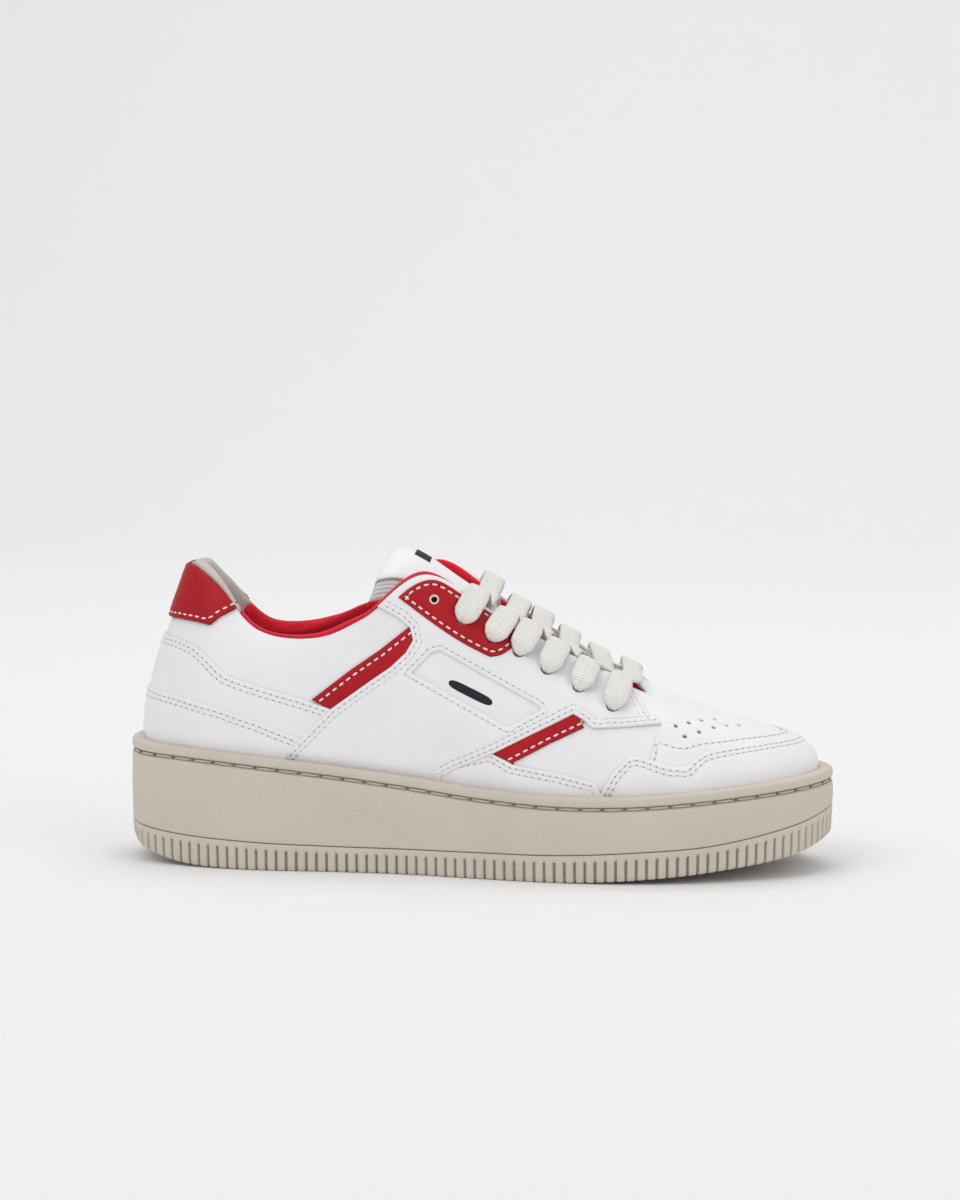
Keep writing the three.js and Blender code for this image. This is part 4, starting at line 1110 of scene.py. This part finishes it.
def make_sole():
    u, slot_depth = rib_stations()
    drop = along(TREAD_LINE, u)[:, 2] - np.maximum(along(TREAD_EDGE, u)[:, 2], 0)
    # deep holds each row's painted shade: darkest in the slots, and at the tread's top edge where the cup
    # sole meets it
    rows, deep = [], []

    def row(share_of_slot, inset, rise, points=TREAD_EDGE, painted_shade=0.0):
        depth = inset + share_of_slot * SLOT_DEPTH * slot_depth
        rows.append(sole_spot(points, u, depth, rise))
        deep.append(share_of_slot * slot_depth * SLOT_SHADE + painted_shade)

    row(0, CUP_WALL + 6, -0.1, TREAD_LINE)
    row(0, 0.5, -0.1, TREAD_LINE, 0.7)
    row(0, 0.08, -0.32, TREAD_LINE)
    row(0, 0.0, -0.7, TREAD_LINE)
    row(0, 0.0, -2.2, TREAD_LINE)
    row(0.35, 0.02, -2.8, TREAD_LINE)
    row(0.9, 0.04, -3.15, TREAD_LINE)
    edge = np.maximum(along(TREAD_EDGE, u)[:, 2], 0)
    for share in (0.66, 0.45, 0.25):
        line_spot, edge_spot = sole_spot(TREAD_LINE, u, 0.05), sole_spot(TREAD_EDGE, u, 0.35)
        mixed = line_spot * share + edge_spot * (1 - share)
        mixed[:, 2] = edge + drop * share * 0.93
        rows.append(mixed - sole_outward(TREAD_LINE, u) * (SLOT_DEPTH * slot_depth)[:, None])
        deep.append(slot_depth * SLOT_SHADE)
    row(1, 0.45, 1.1)
    row(1, 0.75, 0.4)
    row(1, 1.5, 0.0)
    row(0.6, 3.6, 0.0)
    row(0, 4.4, 0.9)
    row(0, 5.0, 1.7)
    piece = loft("outsole_rubber", rows[::-1], RUBBER, True, deep=np.concatenate(deep[::-1]))
    settle(piece, nodes=["outsole_tread"])

    u = np.linspace(0, ROUND, 441)[:-1]
    height = along(RIM, u)[:, 2] - along(TREAD_LINE, u)[:, 2]
    # deep holds each row's painted shade: at the joint with the tread, in the stitch groove, where the upper
    # meets the rim, and inside the cup
    rows, deep = [], []

    def wall(inset, rise, points=RIM, painted_shade=0.0):
        rows.append(sole_spot(points, u, inset, rise))
        deep.append(np.full(len(u), painted_shade))

    wall(CUP_WALL, CUP_FLOOR + GAP, TREAD_LINE)
    wall(CUP_WALL + 4, CUP_FLOOR, TREAD_LINE)
    wall(CUP_WALL + 4, 0.12, TREAD_LINE)
    wall(0.5, 0.1, TREAD_LINE, 0.7)
    wall(0.06, 0.3, TREAD_LINE)
    wall(0.0, 0.7, TREAD_LINE)
    for share in (0.2, 0.4, 0.6, 0.8):
        mixed = sole_spot(TREAD_LINE, u, 0) * (1 - share) + sole_spot(RIM, u, 0) * share
        mixed[:, 2] = along(TREAD_LINE, u)[:, 2] + 0.7 + (height - 6.6) * share
        rows.append(mixed + sole_outward(RIM, u) * 0.25 * math.sin(math.pi * share))
        deep.append(np.zeros(len(u)))
    top, low = -GROOVE_TOP, -GROOVE_TOP - GROOVE_HEIGHT
    at_rim = level(u, lambda us, x: along(RIM, us)[..., 2] - 0.6)
    meets = ((sole_spot(RIM, u, 0) - leather(at_rim[:, 0], at_rim[:, 1])) * sole_outward(RIM, u)).sum(1)
    for inset, rise, painted_shade in ((0.0, low - 0.45, 0), (0.12, low - 0.1, 0), (0.6, low + 0.12, 0.25),
                              (GROOVE_DEPTH, low + 0.45, 0.4), (GROOVE_DEPTH, top - 0.45, 0.4),
                              (0.7, top - 0.1, 0.25), (0.16, top + 0.12, 0), (0.0, top + 0.5, 0),
                              (-0.1, -1.9, 0), (0.0, -0.9, 0), (0.3, -0.3, 0), (0.9, 0.02, 0),
                              (1.8, 0.14, 0)):
        wall(inset, rise, RIM, painted_shade)
    for short, rise, painted_shade in ((1.5, 0.08, 0), (0.6, -0.25, 0.15), (0.1, -0.9, 0.8), (0.0, -2.0, 0.8)):
        wall(meets - short, rise, RIM, painted_shade)
    wall(CUP_WALL, -7, RIM, 0.8)
    order = rows[1:] + rows[:1]
    piece = loft("cup_sole_rubber", order, RUBBER, True, deep=np.concatenate(deep[1:] + deep[:1]))
    settle(piece, nodes=["cup_sole"])

    u = np.linspace(0, ROUND, 1201)
    groove = sole_spot(RIM, u, GROOVE_DEPTH - 0.45, -GROOVE_TOP - GROOVE_HEIGHT / 2)
    lifts = sole_outward(RIM, u)
    stitches = beads("sole_stitching_thread", [(groove, lifts)], SOLE_PITCH, SOLE_STITCH, SOLE_THREAD)
    settle(stitches, nodes=["sole_stitching"])
    # painted shade: darker beads between the stitches, for the shade in their needle holes
    holes = beads("sole_stitching_holes", [(groove, lifts)], SOLE_PITCH, (0.9, 1.3, 0.9), SOLE_HOLE_SHADE,
                  (SOLE_PITCH / 2, 0, -0.25))
    settle(holes)
    make_tread()
    make_footbed()


# Slanted blocks in a herringbone under the sole: how far apart, along and across.
BLOCK_STEPS = (6.2, 8.4)
BLOCK_SIZE = (8.2, 2.9, 2.9)
BLOCK_SLANT, BLOCK_SET_IN = 32, 1.5


def make_tread():
    ring = sole_spot(TREAD_EDGE, np.linspace(0, ROUND, 221)[:-1], 9.0)[:, :2]
    xs, zs = zip(*[(s[0], s[5]) for s in SOLE])
    spots, ways, lifts, sizes = [], [], [], []
    for x in np.arange(-128, 128, BLOCK_STEPS[0]):
        for j, y in enumerate(np.arange(-42, 43, BLOCK_STEPS[1])):
            if not inside(np.array([(x, y)]), ring)[0]:
                continue
            z = np.interp(x, xs, zs)
            slope = (np.interp(x + 3, xs, zs) - np.interp(x - 3, xs, zs)) / 6
            slant = math.radians(BLOCK_SLANT if j % 2 else -BLOCK_SLANT)
            spots.append((x, y, z + BLOCK_SET_IN))
            lifts.append((slope, 0, -1))
            ways.append((math.sin(slant), math.cos(slant), 0))
            sizes.append([v * MM for v in BLOCK_SIZE])
    settle(grow("tread_blocks", BLOCKS, spots, [], {"Material": RUBBER}, lift=lifts, way=ways, size=sizes))


# The footbed: dished a little at the heel, with its edge turned up against the lining.
def make_footbed():
    u = np.linspace(0, ROUND, 241)[:-1]
    inset = UPPER_INSET + LINING_DEPTH + STIFFENER_ROOM + LINING + 0.6
    base = -UPPER_DEPTH
    sections = [(inset + 0.3, base + 0.02), (inset - 0.2, base + 1.2), (inset - 0.3, base + FOOTBED - 0.5),
                (inset + 0.5, base + FOOTBED + 0.25), (inset + 2.5, base + FOOTBED + 0.1)]
    rings = [sole_spot(RIM, u, i, r) for i, r in sections]
    last = rings[-1]
    middle = 0.5 * (last + np.roll(last[::-1], 1, 0))
    heel = np.clip((-60 - middle[:, :1]) / 50, 0, 1)
    for share in (0.25, 0.5, 0.75, 0.96):
        across = last * (1 - share) + middle * share
        across[:, 2:] -= (0.4 + 1.1 * heel) * math.sin(share * math.pi / 2)
        rings.append(across)
    uv = np.concatenate(rings)[:, :2]
    piece = loft("footbed_cover", rings, CRIMSON_MESH, True, uv)
    settle(piece, nodes=["footbed"])


# ---------------------------------------------------------------- linings and padded collar
def step_up(x, low, high):
    s = np.clip((x - low) / (high - low), 0, 1)
    return s * s * (3 - 2 * s)


def from_heel(u):
    return np.abs((u + TOE) % ROUND - TOE)


def stiffener(u):
    return step_up(4.6 - from_heel(u), 0, 1.2) + step_up(from_heel(u) - 8.6, 0, 1)


def padding(u, t):
    up = step_up(t, 0.5, 0.8) * (1 - 0.6 * step_up(t, 0.86, 1))
    return COLLAR_PAD * step_up(4.7 - from_heel(u), 0, 1.3) * up


def lining_face(u, t):
    return -LINING_DEPTH - STIFFENER_ROOM * stiffener(u) - padding(u, t) - LINING


INNER_T = np.array([0.05, 0.1, 0.16, 0.22, 0.3, 0.38, 0.46, 0.52, 0.58, 0.63, 0.68, 0.73, 0.78, 0.82, 0.86,
                    0.9, 0.935, 0.96])
KNIT_AROUND, KNIT_UP = 26.0, 75    # millimetres of knit to one station, and from foot to edge


# 1 along the front of the throat, where the lining stays under the leather's edge.
def at_throat(u):
    return step_up(from_heel(u), 7, 8.2)


# How far the lining rolls up over the leather's edge, in millimetres.
def roll_height(u):
    away = from_heel(u)
    inner = 1.6 * (from_heel(u - 1) > away) * step_up(away, 0.6, 2.2)
    heel = 0.4 + 0.6 * step_up(away, 0.4, 1.4)
    high = (1.4 + inner) * (1 - step_up(away, 4.5, 5.3)) + 0.9 * (1 - step_up(away, 2.3, 3.2))
    return 1.2 - 1.6 * at_throat(u) + heel * high


# A padded lining between two stations: up its inner face, over the edge, and down behind the leather.
def lining(name, span, count, material, nodes):
    rings = []
    for u in np.linspace(*span, count):
        inner_h = lining_face(u, INNER_T)
        over = roll_height(u) / np.linalg.norm(slopes(u, 1.0)[1])
        turn = np.linspace(math.pi, math.pi * 0.12, 9)[1:]
        low, high = inner_h[-1], 0.45 - 1.3 * at_throat(u)
        roll_t = 0.965 + (0.035 + over) * np.sin(turn) ** 0.8
        roll_h = (low + high) / 2 + (high - low) / 2 * np.cos(turn)
        back_t = np.concatenate([[1 + min(over, 0), 0.985], INNER_T[::-1]])
        back_h = np.concatenate([[min(-0.1, high - 0.2), -1.28], np.full(len(INNER_T), -1.3)])
        t = np.concatenate([INNER_T, roll_t, back_t])
        h = np.concatenate([inner_h, roll_h, back_h])
        rings.append((np.full_like(t, u), t, h))
    us, ts, hs = (np.concatenate([r[k] for r in rings]) for k in range(3))
    n = len(rings[0][0])
    faces = [f[::-1] for f in ring_faces(count, n, True)]
    uv = np.stack([us * KNIT_AROUND, ts * KNIT_UP], -1)
    piece = mesh_object(name, raised(us, ts, hs), faces, material, uv)
    settle(piece, nodes=nodes)
    return piece


def make_linings():
    end = HEEL_LINING_END
    lining("heel_collar_pad", (-end, end), 61, GREY_SUEDE,
           ["heel_lining", "heel_binding", "collar_foam"])
    for name, side in SIDES:
        span = (end + 0.01, SEAM - 0.01) if side == LATERAL else (ROUND - SEAM + 0.01, ROUND - end - 0.01)
        lining(f"collar_lining_{name}", span, 49, CRIMSON_MESH,
               [f"quarter_lining_{name}", f"collar_binding_{name}"])
    lining("vamp_inner_lining", (SEAM + 0.01, ROUND - SEAM - 0.01), 81, CRIMSON_MESH,
           ["vamp_lining"])


# ---------------------------------------------------------------- tongue
TONGUE_LINE = [(76, 58.5), (67, 61), (58, 66.5), (47, 76), (28, 88), (8, 100.5), (-10, 112.5), (-21, 120),
               (-28.5, 123.3), (-36.5, 122)]
TONGUE_HALF = (11, 12, 13, 15, 18, 20, 21, 21.5, 22, 22)
TONGUE_THICK = (3.2, 3.6, 4.2, 5.2, 6.2, 6.8, 7.6, 8.6, 9.2, 8.6)
TONGUE_STEPS = 900
TONGUE_CURVE = smooth(TONGUE_LINE, TONGUE_STEPS)
TONGUE_KNIT = (140, 22)        # millimetres of knit along the tongue, and across half of it
BULGE = 0.5                    # how far the pad's middle stands out
LABEL_HALF, LABEL_THICK = 0.74, 0.75    # share of the tongue's half width, and millimetres


def from_table(table, s):
    return np.interp(s * (len(table) - 1), range(len(table)), table)


def tongue_middle(s):
    at = np.clip(s, 0, 1) * TONGUE_STEPS
    return np.stack([np.interp(at, range(TONGUE_STEPS + 1), TONGUE_CURVE[:, k]) for k in (0, 1)], -1)


# A point of the tongue: s from foot to top, across from -1 to 1, depth down from its upper face.
def tongue_spot(s, across, depth):
    s, across, depth = np.broadcast_arrays(*(np.asarray(v, float) for v in (s, across, depth)))
    middle = tongue_middle(s)
    way = unit(tongue_middle(s + 0.004) - tongue_middle(s - 0.004))
    n = np.stack([-way[..., 1], 0 * s, way[..., 0]], -1) * np.where(way[..., :1] < 0, -1, 1)
    half = from_table(TONGUE_HALF, s)
    y = across * half
    drop = 0.145 * np.abs(y) ** 1.5
    lean = np.minimum(1, np.abs(across) ** 1.5 * 0.5)
    out = unit(n + np.stack([0 * s, np.sign(across) * lean, 0 * s], -1))
    back = (0.12 + 0.3 * step_up(s, 0.7, 1)) * drop
    face = np.stack([middle[..., 0] - back, y, middle[..., 1] - drop], -1)
    return face - out * depth[..., None]


def make_tongue():
    turn = circle(40)
    rings, uv = [], []
    for s in np.linspace(0, 1, 90):
        close = min(1.0, math.sqrt(max(0.0, 1 - (max(0, s - 0.965) / 0.036) ** 2)) + 0.08)
        half = from_table(TONGUE_THICK, s) / 2
        across = blunt(np.cos(turn), 0.55) * (0.965 + 0.035 * close)
        puff = BULGE * np.cos(across * math.pi / 2)
        depth = half - blunt(np.sin(turn), 0.75) * (half + puff) * close
        rings.append(tongue_spot(s, across, depth))
        uv.append(np.stack([np.full_like(turn, s * TONGUE_KNIT[0]), across * TONGUE_KNIT[1]], -1))
    piece = loft("tongue_pad", rings, GREY_MESH, True, np.concatenate(uv))
    settle(piece, "tongue", ["tongue_cover", "tongue_foam"])

    rings, uv = [], []
    under = np.linspace(-0.28, math.pi + 0.28, 30)
    for s in np.linspace(0.0, 0.992, 80):
        half = from_table(TONGUE_THICK, s) / 2
        loops = []
        for grow_out, angles in ((0.75, under), (0.1, under[::-1])):
            across = blunt(np.cos(angles), 0.55) * (1 + grow_out / 20)
            depth = half + blunt(np.sin(angles), 0.75) * (half + grow_out)
            loops.append(tongue_spot(s, across, depth))
            uv.append(np.stack([np.full_like(angles, s * TONGUE_KNIT[0]), across * TONGUE_KNIT[1]], -1))
        rings.append(np.concatenate(loops))
    piece = loft("tongue_lining_mesh", rings, CRIMSON_MESH, True, np.concatenate(uv))
    settle(piece, "tongue", ["tongue_lining"])

    rings = []
    over = np.linspace(-1, 1, 26)
    for s in np.linspace(0.6, 1.0, 44):
        close = math.sqrt(max(0.0, 1 - (max(0, s - 0.962) / 0.04) ** 2))
        half = from_table(TONGUE_THICK, s) / 2
        lift = BULGE * np.cos(over * LABEL_HALF * math.pi / 2)
        outer = half - (half + lift + LABEL_THICK) * close - 0.25 * (1 - np.abs(over) ** 8)
        inner = half - (half + lift + 0.05) * close
        rings.append(np.concatenate([tongue_spot(s, over * LABEL_HALF, outer),
                                     tongue_spot(s, over[::-1] * 0.745, inner[::-1])]))
    piece = loft("tongue_top_label", rings, WHITE_LEATHER, True)
    settle(piece, "tongue", ["tongue_label"])

    rings = []
    over = np.linspace(-0.22, 0.22, 12)
    for s in np.linspace(0.765, 0.845, 9):
        half = from_table(TONGUE_THICK, s) / 2
        face = half - (half + BULGE * np.cos(over * LABEL_HALF * math.pi / 2) + LABEL_THICK) - 0.25
        rings.append(np.concatenate([tongue_spot(s, over, face - 0.08),
                                     tongue_spot(s, over[::-1], face[::-1] + 0.1)]))
    settle(loft("tongue_print", rings, PRINT, True), "tongue")


# ---------------------------------------------------------------- lace
LACED_ROWS = 6
LACE_LIFT = 3.0 + LACE_THICK / 2 + 0.7
LACE_UNDER = LINING_DEPTH + LINING + LACE_THICK / 2 + 0.5
HOLE_WIDTH = 3.2
BAR_HUMP = 2.0


def by_eyelet(side, row, edge, lift):
    u, t = EYELET_UT[side][row]
    centre, n = leather(u, t), normal_at(u, t)
    hem = unit(leather(u + 0.05, 1.0) - leather(u - 0.05, 1.0))
    up = leather(u, t + 0.02) - centre
    return centre + unit(up - hem * (up @ hem)) * edge + n * lift


def down_through(side, row):
    hump = BAR_HUMP if row == 0 else 0
    return [(by_eyelet(side, row, 14.5, LACE_LIFT - 1.4 + hump), LACE_WIDTH, 1.0),
            (by_eyelet(side, row, 10.5, LACE_LIFT + 0.5 + hump), LACE_WIDTH + 1.2, 1.15),
            (by_eyelet(side, row, 5.4, LACE_LIFT + 1.4 + hump * 0.3), LACE_WIDTH + 1.2, 1.45),
            (by_eyelet(side, row, 1.9, LACE_LIFT + 0.8), LACE_WIDTH + 1.0, 1.6),
            (by_eyelet(side, row, 0.3, LACE_LIFT - 0.8), LACE_WIDTH - 1.2, 1.5),
            (by_eyelet(side, row, -0.3, LACE_LIFT - 2.4), HOLE_WIDTH + 1.6, 1.4),
            (by_eyelet(side, row, 0, 0), HOLE_WIDTH, 1.4),
            (by_eyelet(side, row, 0.5, -LACE_UNDER + 0.4), HOLE_WIDTH + 1, 1.2),
            (by_eyelet(side, row, 5, -LACE_UNDER - 0.6 - hump / 2), LACE_WIDTH, 1.0),
            (by_eyelet(side, row, 10, -LACE_UNDER - 0.8 - hump / 2), LACE_WIDTH, 1.0)]


def above_tongue(x, y, lift):
    s = float(np.interp(-x, -TONGUE_CURVE[:, 0], np.linspace(0, 1, TONGUE_STEPS + 1)))
    return tongue_spot(s, y / float(from_table(TONGUE_HALF, s)), -lift)


def lace_half(side):
    route = down_through(side, 0)
    for row in range(1, LACED_ROWS):
        start, end = leather(*EYELET_UT[side][row - 1])[0], leather(*EYELET_UT[-side][row])[0]
        lift = LACE_THICK / 2 + GAP + (0 if side == LATERAL else LACE_THICK + GAP)
        throat = abs(along(TOPLINE_RING, EYELET_UT[side][row][0])[1])
        for share, y, rise in ((0.35, side * throat * 0.4, LACE_THICK / 2 + 2 * GAP), (0.5, 0, lift),
                               (0.65, -side * throat * 0.4, lift + (3.5 if row == 1 else 1.2))):
            route.append((above_tongue(start + (end - start) * share, y, rise), LACE_WIDTH, 1.0))
        side = -side
        route += down_through(side, row)
    route.pop()
    u = EYELET_UT[side][LACED_ROWS - 1][0]
    back = -1 if side == LATERAL else 1
    for t, aside in ((0.76, 0.2), (0.68, 0.3), (0.6, 0.4)):
        route.append((raised(u + back * aside, t, -LACE_UNDER - 1.1), LACE_WIDTH * 0.6, 1.0))
    return route


def make_lace():
    halves = [lace_half(LATERAL), lace_half(MEDIAL)]
    bar = (above_tongue(leather(*EYELET_UT[LATERAL][0])[0], 0, 8), LACE_WIDTH, 1.0)
    stops = halves[0][::-1] + [bar] + halves[1]
    places = np.array([p for p, w, k in stops])
    fine = smooth_3d(places, 9)
    sizes = np.array([(w, k) for p, w, k in stops])
    at = np.linspace(0, len(stops) - 1, len(fine))
    width, thick = (np.interp(at, range(len(stops)), sizes[:, k]) for k in (0, 1))
    way = unit(np.gradient(fine, axis=0))
    uphill = np.array((-0.87, 0, 0.5))
    across = uphill - way * (way @ uphill)[:, None]
    across = unit(blurred(unit(across), 5))
    across = unit(across - way * (across * way).sum(1)[:, None])
    up = np.cross(way, across)
    turn = circle(16)
    a, b = blunt(np.cos(turn), 0.6), blunt(np.sin(turn), 0.8)
    run = lengths(fine)
    rings = [c + x * (w / 2 * a)[:, None] + n * (LACE_THICK / 2 * 1.15 * k * b)[:, None]
             for c, x, n, w, k in zip(fine, across, up, width, thick)]
    flat = np.where(turn < math.pi, turn, 2 * math.pi - turn) / math.pi
    uv = np.concatenate([np.stack([np.full_like(flat, r), flat * LACE_WIDTH], -1) for r in run])
    piece = loft("woven_lace", rings, LACE_YARN, True, uv)
    settle(piece, nodes=["lace"])
    for name, half in (("medial", halves[0]), ("lateral", halves[1])):
        make_tip(f"lace_tip_{name}", half[-2][0], half[-1][0])


# Between p and q as t goes from start to end.
def share_out(p, q, t, start, end):
    return p * (end - t) / (end - start) + q * (t - start) / (end - start)


# A smooth curve with no overshoot where its points lie close together.
def smooth_3d(points, steps):
    p = np.concatenate([2 * points[:1] - points[1:2], points, 2 * points[-1:] - points[-2:-1]])
    out = []
    for i in range(len(points) - 1):
        a, b, c, d = p[i:i + 4]
        k = np.cumsum([0] + [max(np.linalg.norm(q - r), 1e-3) ** 0.5 for q, r in ((b, a), (c, b), (d, c))])
        for t in k[1] + (k[2] - k[1]) * np.arange(steps) / steps:
            near = share_out(a, b, t, k[0], k[1])
            here = share_out(b, c, t, k[1], k[2])
            far = share_out(c, d, t, k[2], k[3])
            out.append(share_out(share_out(near, here, t, k[0], k[2]), share_out(here, far, t, k[1], k[3]),
                                 t, k[1], k[2]))
    out.append(points[-1])
    return np.array(out)


def blurred(rows, reach):
    padded = np.concatenate([np.repeat(rows[:1], reach, 0), rows, np.repeat(rows[-1:], reach, 0)])
    return sum(padded[k:k + len(rows)] for k in range(2 * reach + 1)) / (2 * reach + 1)


def make_tip(name, before, end):
    way = unit(end - before)
    side = unit(np.cross(way, (0, 0, 1)))
    spoke = spokes(circle(16), side, np.cross(way, side))
    rings = []
    for run, radius in ((0.0, 1.0), (0.15, 1.22), (0.6, 1.3), (6, 1.22), (12, 1.1), (12.8, 0.9), (13, 0.5)):
        rings.append(end + way * (GAP + run) + radius * spoke)
    settle(loft(name + "_cap", rings, RING_PAINT, True), nodes=[name])


# ---------------------------------------------------------------- a plain printed bar on each side window
BAR_MIDDLE, BAR_HALF, BAR_SLANT = (0.8, 71.8), (9.5, 1.7), math.radians(-25)


def make_marks():
    for name, side in SIDES:
        turn = np.linspace(0, 2 * math.pi, 37)[:-1]
        xs = blunt(np.cos(turn), 0.45) * BAR_HALF[0]
        zs = blunt(np.sin(turn), 0.8) * BAR_HALF[1]
        c, s = math.cos(BAR_SLANT), math.sin(BAR_SLANT)
        places = [(BAR_MIDDLE[0] + x * c - z * s, BAR_MIDDLE[1] + x * s + z * c) for x, z in zip(xs, zs)]
        loop = line(side, places + places[:1])[:-1]
        settle(panel(f"window_print_{name}", loop, 0.82, 0.6, PRINT, net=1.8, roll=0.12))


def finish_hidden():
    for node, material in (("cushion_wedge", FOAM), ("insole_board", BOARD), ("toe_puff", BOARD),
                           ("heel_counter", BOARD)):
        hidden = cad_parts[node]
        hidden.data.materials.clear()
        hidden.data.materials.append(material)


make_sole()
make_linings()
make_tongue()
make_lace()
make_marks()
finish_hidden()


# ---------------------------------------------------------------- the studio
FLOOR_HALF, FLOOR_FRONT, FLOOR_BACK = 4.0, -3.0, 1.2     # metres
WALL_CURVE, WALL_TOP = 1.2, 4.0
WORLD_LIGHT = 0.56
MIDDLE = (0, 0, 0.06)
# Name, place, power in watts, size in metres, and what it is aimed at.
LIGHTS = [
    ("key_light", (-0.9, -1.3, 1.9), 13, 1.4, MIDDLE),
    ("fill_light", (1.4, -0.9, 1.2), 5, 1.2, MIDDLE),
    ("top_light", (0.1, 0.5, 2.1), 8, 1.5, MIDDLE),
    ("back_light", (0, 0.7, 1.9), 7, 1.8, (0, 2.4, 0.6)),
]


def make_studio():
    f = Finish("studio_floor", Roughness=0.9, Specular_IOR_Level=0.1)
    f.set("Base Color", f.mix(f.noise(3, 2) * 0.04, srgb(243, 243, 243), srgb(238, 238, 238)))
    run = [(FLOOR_FRONT, 0.0), (FLOOR_BACK, 0.0)]
    for a in np.linspace(0, math.pi / 2, 24)[1:]:
        run.append((FLOOR_BACK + WALL_CURVE * math.sin(a), WALL_CURVE - WALL_CURVE * math.cos(a)))
    run.append((FLOOR_BACK + WALL_CURVE, WALL_TOP))
    points = [(x, y, z) for y, z in run for x in (-FLOOR_HALF, FLOOR_HALF)]
    faces = [(2 * i, 2 * i + 1, 2 * i + 3, 2 * i + 2) for i in range(len(run) - 1)]
    mesh = bpy.data.meshes.new("studio_floor")
    mesh.from_pydata(points, [], faces)
    mesh.polygons.foreach_set("use_smooth", [True] * len(mesh.polygons))
    mesh.materials.append(f.material)
    floor = add_object("studio_floor", mesh)
    bpy.context.scene.view_settings.view_transform = "Standard"
    world = bpy.data.worlds.new("studio_air")
    bpy.context.scene.world = world
    world.use_nodes = True
    sky = world.node_tree.nodes["Background"]
    sky.inputs["Color"].default_value = (1.0, 1.0, 1.0, 1)
    sky.inputs["Strength"].default_value = WORLD_LIGHT
    for name, place, power, size, aim in LIGHTS:
        data = bpy.data.lights.new(name, "AREA")
        data.energy, data.size = power, size
        lamp = add_object(name, data)
        lamp.location = place
        look(lamp, Vector(aim) - Vector(place))


make_studio()
